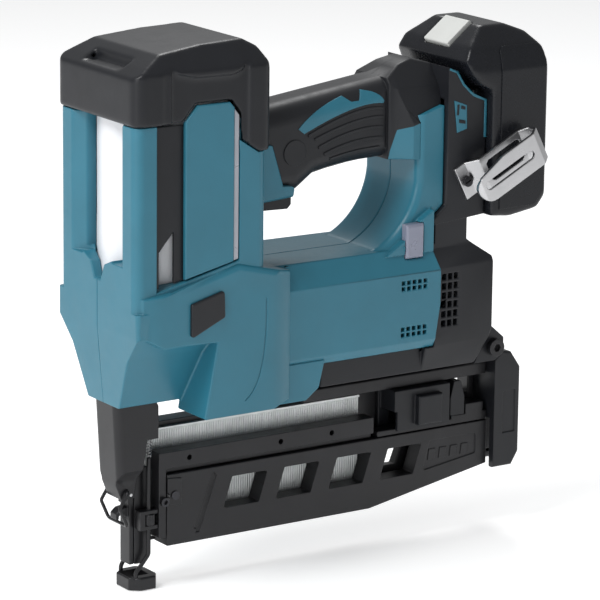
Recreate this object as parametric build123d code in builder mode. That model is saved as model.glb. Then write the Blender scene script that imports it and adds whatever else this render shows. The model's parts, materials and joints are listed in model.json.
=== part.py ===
from build123d import *
import math
import os

os.makedirs("parts", exist_ok=True)

# Cordless gas-spring brad nailer. Millimetres, +Z up along the driver's axis.
# The origin is on the driver's axis at the bottom of the contact foot.
# +X points from the nose to the battery, -Y is the tool's left side.

# ---------------------------------------------------------------- driving dimensions
CAGE_FRONT = -25.0
CAGE_REAR = 61.5
CAGE_HALF = 42.0
CAGE_MID = (CAGE_FRONT + CAGE_REAR) / 2
CAGE_CORNER = 6.0
LEDGE_Z = 180.0
BODY_BOTTOM = 106.0
BODY_HALF = 44.5
BULGE_HALF = 46.0

CAP_FRONT = -26.0
CAP_REAR = 64.0
CAP_HALF = 44.0
CAP_LIP_Z = 304.0
CAP_CROWN_Z = 319.5
CAP_WALL = 2.6

TANK_X = 18.0
TANK_R = 37.0
TANK_WALL = 2.5
TANK_BASE_Z = 183.0
TANK_TOP_Z = 292.0

SLEEVE_R = 16.0
BORE_R = 14.0
PISTON_R = 13.95
PISTON_TOP_Z = 276.0
PISTON_H = 16.0

BLADE_THICK = 1.6
BLADE_WIDE = 6.0
BLADE_TIP_Z = 98.0

MOTOR_Y = 12.0
MOTOR_Z = 148.0
MOTOR_HALF = 36.0
MOTOR_TOP = 171.0
MOTOR_BOTTOM = 124.5
SADDLE_Z = 183.0
TEAL_REAR = 184.0

COLUMN_FRONT = 175.0
COLUMN_REAR = 193.5
COLUMN_HALF = 28.0
REAR_FACE = 226.0
REAR_HALF = 35.0

HANDLE_HALF = 18.0
SHELL_WALL = 2.6
SKIN = 2.0

MAG_HALF = 13.0
MAG_FRONT = 8.0
MAG_REAR = 240.0
MAG_BOTTOM = 24.5
NAIL_D = 1.6
NAIL_LEN = 64.0
NAIL_TOP = 92.0
NAIL_FIRST = 3.0
NAIL_COUNT = 96
NAIL_PITCH = 0.99 * NAIL_D
STRIP_LEN = (NAIL_COUNT - 1) * NAIL_PITCH
HEAD_THICK = 1.3

TRIGGER_X = 71.0
TRIGGER_Z = 225.5
TRIGGER_PIN_R = 1.5

BATTERY_HALF = 37.5
BATTERY_FACE = 221.5
BATTERY_REAR = 262.0
BATTERY_BOTTOM = 197.5
BATTERY_TOP = 311.0

FIT = 0.05


# ---------------------------------------------------------------- profile helpers
def outline(plane, points, radius=0.0):
    """Closed sketch through the points, with every corner rounded if asked."""
    with BuildSketch(plane) as flat:
        with BuildLine():
            Polyline(*points, close=True)
        make_face()
        if radius:
            fillet(flat.vertices(), radius)
    return flat.sketch


def mirrored(points):
    """The points and their mirror images in Y, as one closed YZ or XY outline."""
    return points + [(-across, up) for across, up in reversed(points)]


def side_plane(y):
    """Plane parallel to XZ through the given Y, facing -Y."""
    return Plane.XZ.offset(-y)


def along_x(x):
    """Plane across the motor's axis at the given X, facing +X."""
    return Plane(origin=(x, MOTOR_Y, MOTOR_Z), x_dir=(0, 1, 0), z_dir=(1, 0, 0))


# Lower edge of the cap, from the front to the rear, on both sides.
CAP_EDGE = [
    (CAP_FRONT - 4, 277.0),
    (5.5, 277.0),
    (14.0, 287.0),
    (36.5, 287.0),
    (42.5, 279.5),
    (43.5, 264.0),
    (55.0, 256.5),
    (CAP_REAR + 4, 256.5),
]

# Line where the main housing meets the rear housing.
REAR_SEAM = [
    (COLUMN_REAR, 330.0),
    (COLUMN_REAR, 208.0),
    (TEAL_REAR, 200.0),
    (TEAL_REAR, 183.0),
    (187.0, MOTOR_TOP),
    (187.0, 150.0),
    (TEAL_REAR, 131.0),
    (TEAL_REAR, 90.0),
]


def handle_form(inset, corner):
    """Handle bar from the tower to the tail, set in all round from the outer skin."""
    with BuildPart() as bar:
        with BuildSketch(Plane.XZ) as side:
            with BuildLine():
                ThreePointArc((56, 271), (112, 277.6), (166, 285))
                Line((166, 285), (166, 236.6))
                ThreePointArc((166, 236.6), (138, 235.6), (112, 231.5))
                Polyline((112, 231.5), (100, 223), (56, 222), (56, 271))
            make_face()
            fillet(side.vertices().group_by(Axis.Y)[1], 7)
            offset(amount=-inset, kind=Kind.INTERSECTION)
        extrude(amount=HANDLE_HALF - inset, both=True)
        fillet(bar.edges().filter_by(lambda e: abs(e.center().Y) > HANDLE_HALF - inset - 0.1), corner)
    return bar.part


TAIL = [(160.0, 236.5), (196.0, 236.5), (196.0, 289.0), (181.0, 293.0), (171.0, 290.5), (160.0, 284.0)]
TAIL_HALF = 27.0
TAIL_PLAN = [(158.0, 17.5), (164.0, 20.5), (172.0, TAIL_HALF), (200.0, TAIL_HALF)]
TAIL_ACROSS = [(TAIL_HALF, 220.0), (TAIL_HALF, 258.0), (20.5, 278.0), (9.0, 293.5)]


def tail_form(inset, corner):
    """Wide end of the handle above the column."""
    with BuildPart() as tail:
        with BuildSketch(Plane.XZ) as side:
            with BuildLine():
                Polyline(*TAIL, close=True)
            make_face()
            offset(amount=-inset, kind=Kind.INTERSECTION)
        extrude(amount=TAIL_HALF - inset, both=True)
        across = [(y - inset, z - inset) for y, z in TAIL_ACROSS]
        extrude(outline(Plane.YZ.offset(150), mirrored(across)), amount=60, mode=Mode.INTERSECT)
        fillet(tail.edges().filter_by(Axis.X).filter_by(lambda e: e.center().Z > 250), corner)
        plan = [(x, y - inset) for x, y in TAIL_PLAN]
        plan += [(x, -y) for x, y in reversed(plan)]
        extrude(outline(Plane.XY.offset(200), plan), amount=120, mode=Mode.INTERSECT)
    return tail.part


# ---------------------------------------------------------------- outer forms
with BuildPart() as cage_form:
    with BuildSketch(Plane.XY.offset(140)):
        with Locations((CAGE_MID, 0)):
            RectangleRounded(CAGE_REAR - CAGE_FRONT, 2 * CAGE_HALF, CAGE_CORNER)
    extrude(amount=160)

# Engine section: side profile met with the plan outline.
ENGINE_SIDE = [
    (CAGE_FRONT, 158.0),
    (CAGE_FRONT, LEDGE_Z),
    (-3.5, 182.0),
    (42.0, 193.5),
    (62.0, 188.5),
    (81.0, 184.0),
    (81.0, 108.0),
    (66.0, BODY_BOTTOM),
    (19.0, BODY_BOTTOM),
    (27.5, 150.0),
    (-8.5, 151.0),
    (-21.0, 158.0),
]
ENGINE_PLAN = [
    (CAGE_FRONT, 37.0),
    (-20.5, 43.0),
    (-8.5, BULGE_HALF),
    (5.5, BODY_HALF),
    (66.0, BODY_HALF),
    (81.5, MOTOR_HALF),
]
with BuildPart() as engine_form:
    extrude(outline(Plane.XZ, ENGINE_SIDE), amount=60, both=True)
    plan = ENGINE_PLAN + [(x, -y) for x, y in reversed(ENGINE_PLAN)]
    extrude(outline(Plane.XY.offset(90), plan), amount=130, mode=Mode.INTERSECT)
    ledge_edges = engine_form.edges().filter_by(
        lambda e: 5 < e.center().X < 62
        and LEDGE_Z < e.center().Z < 195
        and abs(abs(e.center().Y) - BODY_HALF) < 0.6
        and abs(e.tangent_at(0.5).Y) < 0.1
    )
    chamfer(ledge_edges, 2.4)

# Funnel that carries the nose, tapering in two slopes.
FUNNEL = [(44.0, 172.0), (44.0, 158.0), (31.0, 143.0), (17.5, 112.0)]
with BuildPart() as funnel_form:
    extrude(outline(Plane.YZ.offset(CAGE_FRONT), mirrored(FUNNEL)), amount=56)
    fillet(funnel_form.edges().filter_by(Axis.Z), 3)

MOTOR_SECTION = [
    (30.0, 185.0),
    (MOTOR_HALF, MOTOR_TOP),
    (MOTOR_HALF, 130.0),
    (33.0, MOTOR_BOTTOM),
]
with BuildPart() as motor_form:
    extrude(outline(Plane.YZ.offset(70), mirrored(MOTOR_SECTION)), amount=125)
    long_edges = motor_form.edges().filter_by(Axis.X)
    fillet(long_edges.group_by(Axis.Z)[1], 2.5)
    fillet(motor_form.edges().filter_by(Axis.X).group_by(Axis.Z)[-2], 3)

MOTOR_FOOT = [
    (70.0, 105.0),
    (94.0, 105.0),
    (102.0, 111.0),
    (106.0, MOTOR_BOTTOM + 3),
    (70.0, MOTOR_BOTTOM + 3),
]
with BuildPart() as foot_form:
    extrude(outline(Plane.XZ, MOTOR_FOOT), amount=MOTOR_HALF - 0.5, both=True)

# Saddle and column behind the finger opening.
with BuildPart() as column_form:
    with BuildSketch(Plane.XZ):
        with BuildLine():
            Line((58, SADDLE_Z - 30), (58, SADDLE_Z + 3))
            Line((58, SADDLE_Z + 3), (122, SADDLE_Z))
            ThreePointArc((122, SADDLE_Z), (159.0, 193.0), (COLUMN_FRONT, 224))
            Line((COLUMN_FRONT, 224), (COLUMN_FRONT, 262))
            Polyline((COLUMN_FRONT, 262), (COLUMN_REAR + 3, 268), (COLUMN_REAR + 3, SADDLE_Z - 30))
            Line((COLUMN_REAR + 3, SADDLE_Z - 30), (58, SADDLE_Z - 30))
        make_face()
    extrude(amount=COLUMN_HALF, both=True)
    saddle_edges = column_form.edges().filter_by(
        lambda e: abs(abs(e.center().Y) - COLUMN_HALF) < 0.1
        and e.center().Z > SADDLE_Z - 1
        and 60 < e.center().X < COLUMN_FRONT + 1
        and e.center().Z < 262
    )
    fillet(saddle_edges, 5)

TAB = [
    (58.0, 256.0),
    (80.0, 253.0),
    (87.5, 229.0),
    (95.0, 227.5),
    (94.0, 221.5),
    (58.0, 219.0),
]
with BuildPart() as tab_form:
    extrude(outline(Plane.XZ, TAB), amount=HANDLE_HALF + 1, both=True)
    fillet(tab_form.edges().filter_by(Axis.Y).group_by(Axis.X)[-1], 2)

with BuildPart() as handle_skin_form:
    add(handle_form(0.0, 12.0))
    add(tail_form(0.0, 4.0))

with BuildPart() as handle_core_form:
    add(handle_form(SKIN, 10.0))
    add(tail_form(SKIN, 3.0))

with BuildPart() as handle_hollow:
    add(handle_form(SKIN + SHELL_WALL, 8.0))
    add(tail_form(SKIN + SHELL_WALL, 2.0))


# ---------------------------------------------------------------- main housing (two clamshell halves)
CAGE_TOP = [(x, z - 0.3) for x, z in CAP_EDGE]
FRONT_WINDOW = [(20.0, 320.0), (20.0, 199.5), (7.0, 194.0), (3.0, 185.0)]
SIDE_WINDOW = [(-11.0, 183.0), (43.0, 195.5), (43.0, 320.0), (-11.0, 320.0)]
# Raised seat of the work light, on the left side.
SHOULDER = [(150.0, 182.0), (163.0, 190.0), (175.0, 201.5), (184.0, 207.0), (184.0, 182.0)]
SHOULDER_HALF = 32.5
TRIGGER_SLOT = (83.25, 0, 224.0)
TRIGGER_SLOT_SIZE = (37.5, 16.6, 16.0)

with BuildPart() as shell_form:
    add(cage_form.part)
    extrude(
        outline(Plane.XZ, CAGE_TOP + [(CAP_REAR + 4, 330), (CAP_FRONT - 4, 330)]),
        amount=60,
        both=True,
        mode=Mode.SUBTRACT,
    )
    extrude(outline(Plane.YZ.offset(CAGE_FRONT - 1), mirrored(FRONT_WINDOW)), amount=20, mode=Mode.SUBTRACT)
    extrude(outline(Plane.XZ, SIDE_WINDOW), amount=60, both=True, mode=Mode.SUBTRACT)
    with Locations((TANK_X, 0, LEDGE_Z + 1)):
        Cylinder(TANK_R + 0.4, 160, align=(Align.CENTER, Align.CENTER, Align.MIN), mode=Mode.SUBTRACT)
    with Locations((CAGE_MID, 0, 130)):
        Box(CAGE_REAR - CAGE_FRONT + 2, 2 * CAGE_HALF + 2, 2 * (LEDGE_Z - 15 - 130), mode=Mode.SUBTRACT)
    add(engine_form.part)
    add(funnel_form.part)
    add(motor_form.part)
    add(foot_form.part)
    add(column_form.part)
    add(tab_form.part)
    add(handle_core_form.part)
    extrude(outline(Plane.XZ, SHOULDER), amount=SHOULDER_HALF)
    # front face of the funnel leans back towards the nose
    extrude(
        outline(Plane.XZ, [(-40, 60), (-21, 60), (-21, 112), (CAGE_FRONT, 158), (-40, 158)]),
        amount=60,
        both=True,
        mode=Mode.SUBTRACT,
    )
    # nothing of the main housing lies behind the seam
    extrude(
        outline(Plane.XZ, REAR_SEAM + [(260, 90), (260, 330)]),
        amount=60,
        both=True,
        mode=Mode.SUBTRACT,
    )

# Room inside the housing, one simple form for each stretch.
FUNNEL_ROOM = [(41.0, 161.0), (28.0, 145.0), (14.5, 114.0), (14.5, 104.0)]
with BuildPart() as room_form:
    with Locations((TANK_X, 0, 160)):
        Cylinder(TANK_R + 0.4, 24, align=(Align.CENTER, Align.CENTER, Align.MIN))
    extrude(outline(Plane.YZ.offset(CAGE_FRONT + 4.5), mirrored(FUNNEL_ROOM)), amount=50)
    with Locations((47.5, 0, 146)):
        Box(33, 82, 76, mode=Mode.ADD)
    with BuildSketch(along_x(26.0)):
        Circle(19.6)
    extrude(amount=20)
    with Locations((125.0, 0, 148.5)):
        Box(140, 66, 41, mode=Mode.ADD)
    with Locations((186.0, 0, 186)):
        Box(16, 50, 60, mode=Mode.ADD)
    with Locations((184.0, 0, 240)):
        Box(12, 46, 60, mode=Mode.ADD)

with BuildPart() as main_shell:
    add(shell_form.part)
    add(room_form.part, mode=Mode.SUBTRACT)
    add(handle_hollow.part, mode=Mode.SUBTRACT)
    # cylinder bore of the cage stays clear of the handle and tab roots
    with Locations((TANK_X, 0, LEDGE_Z + 1)):
        Cylinder(TANK_R + 0.4, 160, align=(Align.CENTER, Align.CENTER, Align.MIN), mode=Mode.SUBTRACT)
    # slot that the trigger rises into
    with Locations(TRIGGER_SLOT):
        Box(*TRIGGER_SLOT_SIZE, mode=Mode.SUBTRACT)
    # two vent patches on each side, above and below the motor
    for row_z in (166.0, 162.6, 138.3, 134.9):
        with Locations((168.4, 0, row_z)):
            with GridLocations(3.9, 1, 5, 1):
                Box(2.7, 90, 2.3, mode=Mode.SUBTRACT)
    # pocket for the light's lens
    with Locations((170.2, -32.0, 189.6)):
        Box(13.2, 8, 21, mode=Mode.SUBTRACT)
    # bore of the trigger's pin
    with Locations(Plane.XZ * Location((TRIGGER_X, TRIGGER_Z, 0))):
        Cylinder(TRIGGER_PIN_R, 24, mode=Mode.SUBTRACT)
    # bore of the nose guide through the funnel floor
    with Locations((-4.0, 0, 108)):
        Box(26, 22, 20, mode=Mode.SUBTRACT)

with BuildPart() as housing_left:
    add(main_shell.part)
    split(bisect_by=Plane.XZ, keep=Keep.TOP)
housing_left.part.label = "housing_left"
export_step(housing_left.part, "parts/housing_left.step")

with BuildPart() as housing_right:
    add(main_shell.part)
    split(bisect_by=Plane.XZ, keep=Keep.BOTTOM)
housing_right.part.label = "housing_right"
export_step(housing_right.part, "parts/housing_right.step")

# ---------------------------------------------------------------- soft grip skins
GRIP_FRONT = [
    (50.0, 200.0),
    (87.0, 200.0),
    (87.0, 229.0),
    (80.0, 253.0),
    (CAP_REAR + 0.2, 256.5),
    (CAP_REAR + 0.2, 300.0),
    (50.0, 300.0),
]
with BuildPart() as grip_form:
    add(handle_skin_form.part)
    add(handle_core_form.part, mode=Mode.SUBTRACT)
    extrude(
        outline(Plane.XZ, GRIP_FRONT),
        amount=60,
        both=True,
        mode=Mode.SUBTRACT,
    )
    add(column_form.part, mode=Mode.SUBTRACT)
    add(tab_form.part, mode=Mode.SUBTRACT)
    with Locations((COLUMN_REAR + 20, 0, 250)):
        Box(40, 90, 120, mode=Mode.SUBTRACT)
    with Locations(TRIGGER_SLOT):
        Box(*TRIGGER_SLOT_SIZE, mode=Mode.SUBTRACT)
    with Locations((TANK_X, 0, LEDGE_Z + 1)):
        Cylinder(TANK_R + 0.4, 160, align=(Align.CENTER, Align.CENTER, Align.MIN), mode=Mode.SUBTRACT)

with BuildPart() as grip_covers:
    add(grip_form.part)
    split(bisect_by=Plane.XZ, keep=Keep.BOTH)
grip_covers.part.label = "grip_covers"
export_step(grip_covers.part, "parts/grip_covers.step")

# ---------------------------------------------------------------- rear housing, two halves
LOWER_BLOCK = [
    (178.0, 109.5),
    (178.0, 186.0),
    (209.5, 186.0),
    (REAR_FACE, 174.5),
    (REAR_FACE, 131.0),
    (217.0, 109.5),
]
LOWER_SECTION = [(30.0, 186.0), (30.0, 182.5), (REAR_HALF, 171.5), (REAR_HALF, 126.0), (30.0, 109.5)]
UPPER_BLOCK = [
    (185.0, 197.0),
    (221.0, 200.0),
    (221.0, 268.5),
    (212.0, 272.5),
    (205.0, 279.0),
    (200.0, 287.0),
    (193.6, 289.5),
    (185.0, 289.5),
]
RAIL_LIP_X = 216.5
RAIL_FLOOR = 200.4
with BuildPart() as rear_form:
    extrude(outline(Plane.XZ, LOWER_BLOCK), amount=60, both=True)
    extrude(outline(Plane.YZ.offset(170), mirrored(LOWER_SECTION)), amount=70, mode=Mode.INTERSECT)
    with Locations((198.0, 0, 192)):
        Box(23, 60, 22)
    extrude(outline(Plane.XZ, UPPER_BLOCK), amount=31, both=True)
    # forward arm above the magazine
    with Locations((145.0, 0, 116.9)):
        Box(76, 60, 14.8)
    # the main housing owns everything in front of the seam
    extrude(
        outline(Plane.XZ, [(90, 124.5), (184, 124.5)] + REAR_SEAM[-2:0:-1] + [(COLUMN_REAR, 330), (90, 330)]),
        amount=60,
        both=True,
        mode=Mode.SUBTRACT,
    )
    # hollow behind the motor
    with Locations((200.0, 0, 150)):
        Box(46, 60, 56, mode=Mode.SUBTRACT)
    with Locations((196.0, 0, 190)):
        Box(20, 50, 50, mode=Mode.SUBTRACT)
    with Locations((200.0, 0, 235)):
        Box(20, 52, 70, mode=Mode.SUBTRACT)
    with Locations((192.0, 0, 259.5)):
        Box(16, 40, 17, mode=Mode.SUBTRACT)
    with Locations((145.0, 0, 117)):
        Box(70, 54, 9.6, mode=Mode.SUBTRACT)
    # battery rail recess, open upwards
    with Locations((219.0, 0, RAIL_FLOOR)):
        Box(14, 38, 120, align=(Align.CENTER, Align.CENTER, Align.MIN), mode=Mode.SUBTRACT)
    with Locations((RAIL_LIP_X - 2.25, 0, RAIL_FLOOR)):
        Box(4.5, 46, 120, align=(Align.CENTER, Align.CENTER, Align.MIN), mode=Mode.SUBTRACT)
    # seat of the terminal block
    with Locations((211.0, 0, 222.0)):
        Box(4.0, 30.0, 30.0, mode=Mode.SUBTRACT)
    # air outlet grid, three columns of six on each side
    for column in range(3):
        for row in range(6):
            with Locations((190.3 + 4.3 * column, 0, 138.0 + 5.6 * row)):
                Box(3.1, 90, 3.6, mode=Mode.SUBTRACT)

with BuildPart() as rear_housing_left:
    add(rear_form.part)
    split(bisect_by=Plane.XZ, keep=Keep.TOP)
rear_housing_left.part.label = "rear_housing_left"
export_step(rear_housing_left.part, "parts/rear_housing_left.step")

with BuildPart() as rear_housing_right:
    add(rear_form.part)
    split(bisect_by=Plane.XZ, keep=Keep.BOTTOM)
rear_housing_right.part.label = "rear_housing_right"
export_step(rear_housing_right.part, "parts/rear_housing_right.step")

# ---------------------------------------------------------------- magazine hangers behind the rear housing
BOLT_X = 231.0
BOLT_Z = 117.5
BOLT_R = 3.0
HANGER = [
    (REAR_FACE - 11, 109.0),
    (REAR_FACE - 11, 114.0),
    (REAR_FACE + 0.2, 133.0),
    (238.3, 122.5),
    (238.3, 113.0),
    (232.0, 109.0),
]
HANGER_BACK = [
    (200.0, 100.0),
    (217.3, 109.4),
    (REAR_FACE + 0.2, 131.0),
    (REAR_FACE + 0.2, 140.0),
    (200.0, 140.0),
]
with BuildPart() as magazine_hangers:
    for inner in (-30.0, 24.0):
        extrude(outline(side_plane(inner), HANGER, 1.2), amount=-6)
        extrude(outline(side_plane(inner), HANGER_BACK), amount=-6, mode=Mode.SUBTRACT)
    with Locations(Plane.XZ * Location((BOLT_X, BOLT_Z, 0))):
        Cylinder(BOLT_R + FIT, 80, mode=Mode.SUBTRACT)
magazine_hangers.part.label = "magazine_hangers"
export_step(magazine_hangers.part, "parts/magazine_hangers.step")

with BuildPart() as magazine_bolt:
    with Locations(Plane.XZ * Location((BOLT_X, BOLT_Z, 0))):
        Cylinder(BOLT_R, 62)
    with Locations(Plane.XZ * Location((BOLT_X, BOLT_Z, 32.0))):
        Cylinder(5.2, 4.0)
    with BuildSketch(side_plane(-34.0)):
        with Locations((BOLT_X, BOLT_Z)):
            RegularPolygon(2.6, 6)
    extrude(amount=-2.6, mode=Mode.SUBTRACT)
    with Locations(Plane.XZ * Location((BOLT_X, BOLT_Z, -32.5))):
        Cylinder(5.4, 5.0)
magazine_bolt.part.label = "magazine_bolt"
export_step(magazine_bolt.part, "parts/magazine_bolt.step")

# ---------------------------------------------------------------- cap
CAP_SIDE = [
    (CAP_FRONT, 250.0),
    (CAP_FRONT, CAP_LIP_Z),
    (-18.0, CAP_LIP_Z + 5),
    (-6.0, CAP_CROWN_Z - 4),
    (22.0, CAP_CROWN_Z - 1),
    (50.0, CAP_CROWN_Z),
    (58.0, 315.0),
    (63.0, 305.0),
    (CAP_REAR, 298.0),
    (CAP_REAR, 250.0),
]
CAP_ACROSS = [(CAP_HALF, 250.0), (CAP_HALF, CAP_LIP_Z), (39.5, 311.0), (31.0, CAP_CROWN_Z + 1)]


def cap_solid(inset):
    """Domed cap body, set in all round, with no opening yet."""
    with BuildPart() as dome:
        with BuildSketch(Plane.XY.offset(250)):
            with Locations(((CAP_FRONT + CAP_REAR) / 2, 0)):
                RectangleRounded(
                    CAP_REAR - CAP_FRONT - 2 * inset, 2 * (CAP_HALF - inset), 7.0 - inset
                )
        extrude(amount=80)
        side = [(x, z - inset) for x, z in CAP_SIDE]
        side[0] = (CAP_FRONT - 5, 240.0)
        side[1] = (CAP_FRONT - 5, CAP_LIP_Z - 3 - inset)
        side[-2] = (CAP_REAR + 5, 291.0 - inset)
        side[-1] = (CAP_REAR + 5, 240.0)
        extrude(outline(Plane.XZ, side), amount=60, both=True, mode=Mode.INTERSECT)
        across = [(y, z - inset) for y, z in CAP_ACROSS]
        across[0] = (CAP_HALF + 5, 240.0)
        across[1] = (CAP_HALF + 5, CAP_LIP_Z - 4 - inset)
        extrude(outline(Plane.YZ.offset(-40), mirrored(across)), amount=120, mode=Mode.INTERSECT)
    return dome.part


with BuildPart() as top_cap:
    add(cap_solid(0.0))
    add(cap_solid(CAP_WALL), mode=Mode.SUBTRACT)
    below = CAP_EDGE + [(CAP_REAR + 4, 230), (CAP_FRONT - 4, 230)]
    extrude(outline(Plane.XZ, below), amount=60, both=True, mode=Mode.SUBTRACT)
    add(handle_skin_form.part, mode=Mode.SUBTRACT)
top_cap.part.label = "top_cap"
export_step(top_cap.part, "parts/top_cap.step")

# ---------------------------------------------------------------- side liners, panels, trim and pads
LINER = [(-10.6, 184.2), (42.6, 195.4), (42.6, 276.0), (-10.6, 276.0)]
LINER_CUT = [(-8.5, 170.0), (-8.5, 205.0), (1.0, 216.0), (1.0, 170.0)]
PANEL = [(6.9, 188.4), (38.9, 195.4), (38.9, 283.0), (36.0, 286.3), (15.0, 286.3), (6.9, 277.5)]
STRIP = [(39.3, 195.6), (42.5, 196.3), (42.5, 278.4), (39.3, 282.4)]
PAD = [(9.0, 154.8), (31.3, 164.8), (30.8, 180.2), (9.0, 174.6)]
SIDES = (-1, 1)
with BuildPart() as side_liners:
    for sign in SIDES:
        extrude(outline(side_plane(sign * 37.8), LINER), amount=-sign * 1.8)
        extrude(outline(side_plane(sign * 37.8), LINER_CUT), amount=-sign * 1.8, mode=Mode.SUBTRACT)
side_liners.part.label = "side_liners"
export_step(side_liners.part, "parts/side_liners.step")

with BuildPart() as side_panels:
    for sign in SIDES:
        extrude(outline(side_plane(sign * 39.6), PANEL), amount=-sign * 3.0)
    fillet(side_panels.edges().filter_by(lambda e: abs(e.center().Y) > 42.5), 0.8)
side_panels.part.label = "side_panels"
export_step(side_panels.part, "parts/side_panels.step")

with BuildPart() as trim_strips:
    for sign in SIDES:
        extrude(outline(side_plane(sign * 39.6), STRIP), amount=-sign * 2.0)
trim_strips.part.label = "trim_strips"
export_step(trim_strips.part, "parts/trim_strips.step")

with BuildPart() as bumper_pads:
    for sign in SIDES:
        extrude(outline(side_plane(sign * BODY_HALF), PAD, 1.6), amount=-sign * 2.0)
    fillet(bumper_pads.edges().filter_by(lambda e: abs(e.center().Y) > BODY_HALF + 1.9), 0.9)
bumper_pads.part.label = "bumper_pads"
export_step(bumper_pads.part, "parts/bumper_pads.step")

with BuildPart() as light_lens:
    with Locations((170.2, -30.9, 189.6)):
        Box(12.6, 5.6, 20.4)
    chamfer(light_lens.faces().sort_by(Axis.Y)[0].edges(), 1.2)
light_lens.part.label = "light_lens"
export_step(light_lens.part, "parts/light_lens.step")

# ---------------------------------------------------------------- gas cylinder and driver
with BuildPart() as pressure_tank:
    with Locations((TANK_X, 0, TANK_BASE_Z)):
        Cylinder(TANK_R, TANK_TOP_Z - TANK_BASE_Z, align=(Align.CENTER, Align.CENTER, Align.MIN))
    fillet(pressure_tank.edges().group_by(Axis.Z)[-1], 8)
    with Locations((TANK_X, 0, TANK_BASE_Z - 1)):
        Cylinder(
            TANK_R - TANK_WALL,
            TANK_TOP_Z - TANK_BASE_Z - 3,
            align=(Align.CENTER, Align.CENTER, Align.MIN),
            mode=Mode.SUBTRACT,
        )
pressure_tank.part.label = "pressure_tank"
export_step(pressure_tank.part, "parts/pressure_tank.step")

SLEEVE_BOTTOM = 163.0
SLEEVE_TOP = 284.0
with BuildPart() as tank_base:
    with Locations((TANK_X, 0, 176)):
        Cylinder(TANK_R - 0.2, TANK_BASE_Z - 176, align=(Align.CENTER, Align.CENTER, Align.MIN))
    with Locations((TANK_X, 0, TANK_BASE_Z)):
        Cylinder(TANK_R - TANK_WALL - 0.1, 6, align=(Align.CENTER, Align.CENTER, Align.MIN))
    with Locations((0, 0, 170)):
        Cylinder(SLEEVE_R + FIT, 30, align=(Align.CENTER, Align.CENTER, Align.MIN), mode=Mode.SUBTRACT)
tank_base.part.label = "tank_base"
export_step(tank_base.part, "parts/tank_base.step")

with BuildPart() as cylinder_sleeve:
    with Locations((0, 0, SLEEVE_BOTTOM)):
        Cylinder(SLEEVE_R, SLEEVE_TOP - SLEEVE_BOTTOM, align=(Align.CENTER, Align.CENTER, Align.MIN))
        Cylinder(
            BORE_R,
            SLEEVE_TOP - SLEEVE_BOTTOM,
            align=(Align.CENTER, Align.CENTER, Align.MIN),
            mode=Mode.SUBTRACT,
        )
cylinder_sleeve.part.label = "cylinder_sleeve"
export_step(cylinder_sleeve.part, "parts/cylinder_sleeve.step")

with BuildPart() as bumper:
    with Locations((0, 0, SLEEVE_BOTTOM)):
        Cylinder(BORE_R, 8, align=(Align.CENTER, Align.CENTER, Align.MIN))
    chamfer(bumper.edges().group_by(Axis.Z)[-1], 2)
    with Locations((0, 0, SLEEVE_BOTTOM + 4)):
        Cylinder(5.0, 12, mode=Mode.SUBTRACT)
bumper.part.label = "bumper"
export_step(bumper.part, "parts/bumper.step")

SEAL_Z = PISTON_TOP_Z - 6.0
with BuildPart() as piston:
    with Locations((0, 0, PISTON_TOP_Z - PISTON_H)):
        Cylinder(PISTON_R, PISTON_H, align=(Align.CENTER, Align.CENTER, Align.MIN))
    with Locations((0, 0, SEAL_Z)):
        Cylinder(PISTON_R + 1, 2.6, mode=Mode.SUBTRACT)
        Cylinder(PISTON_R - 2, 2.6)
    with Locations((0, 0, PISTON_TOP_Z)):
        Cylinder(9, 8, mode=Mode.SUBTRACT)
    with Locations((0, 0, PISTON_TOP_Z - PISTON_H)):
        Box(BLADE_THICK, BLADE_WIDE, 16, mode=Mode.SUBTRACT)
piston.part.label = "piston"
export_step(piston.part, "parts/piston.step")

with BuildPart() as piston_seal:
    with Locations((0, 0, SEAL_Z)):
        Cylinder(PISTON_R, 2.6)
        Cylinder(PISTON_R - 2, 2.6, mode=Mode.SUBTRACT)
piston_seal.part.label = "piston_seal"
export_step(piston_seal.part, "parts/piston_seal.step")

# Blade with lifting teeth on its right edge.
BLADE_TOP = PISTON_TOP_Z - PISTON_H + 8
TOOTH_PITCH = 10.0
blade_edge = [(-BLADE_WIDE / 2, BLADE_TIP_Z), (-BLADE_WIDE / 2, BLADE_TOP), (BLADE_WIDE / 2, BLADE_TOP)]
for tooth in range(9):
    top = BLADE_TOP - 22 - tooth * TOOTH_PITCH
    blade_edge += [(BLADE_WIDE / 2, top), (0.6, top - 1.5), (BLADE_WIDE / 2, top - 6.0)]
blade_edge += [(BLADE_WIDE / 2, BLADE_TIP_Z + 26), (1.6, BLADE_TIP_Z + 22), (1.6, BLADE_TIP_Z)]
blade_edge[0] = (-1.6, BLADE_TIP_Z)
blade_edge.insert(1, (-1.6, BLADE_TIP_Z + 22))
blade_edge.insert(2, (-BLADE_WIDE / 2, BLADE_TIP_Z + 26))
with BuildPart() as driver_blade:
    extrude(outline(Plane.YZ, blade_edge), amount=BLADE_THICK / 2, both=True)
driver_blade.part.label = "driver_blade"
export_step(driver_blade.part, "parts/driver_blade.step")

# ---------------------------------------------------------------- motor, planetary gearbox and lifter
STATOR = (66.0, 112.0)
with BuildPart() as motor_stator:
    with BuildSketch(along_x(STATOR[0])):
        Circle(19.0)
        Circle(11.0, mode=Mode.SUBTRACT)
        with PolarLocations(15.0, 6):
            Circle(2.6, mode=Mode.SUBTRACT)
    extrude(amount=STATOR[1] - STATOR[0])
motor_stator.part.label = "motor_stator"
export_step(motor_stator.part, "parts/motor_stator.step")

with BuildPart() as motor_rotor:
    with BuildSketch(along_x(68.0)):
        Circle(10.6)
        Circle(2.5, mode=Mode.SUBTRACT)
    extrude(amount=42)
motor_rotor.part.label = "motor_rotor"
export_step(motor_rotor.part, "parts/motor_rotor.step")

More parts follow.
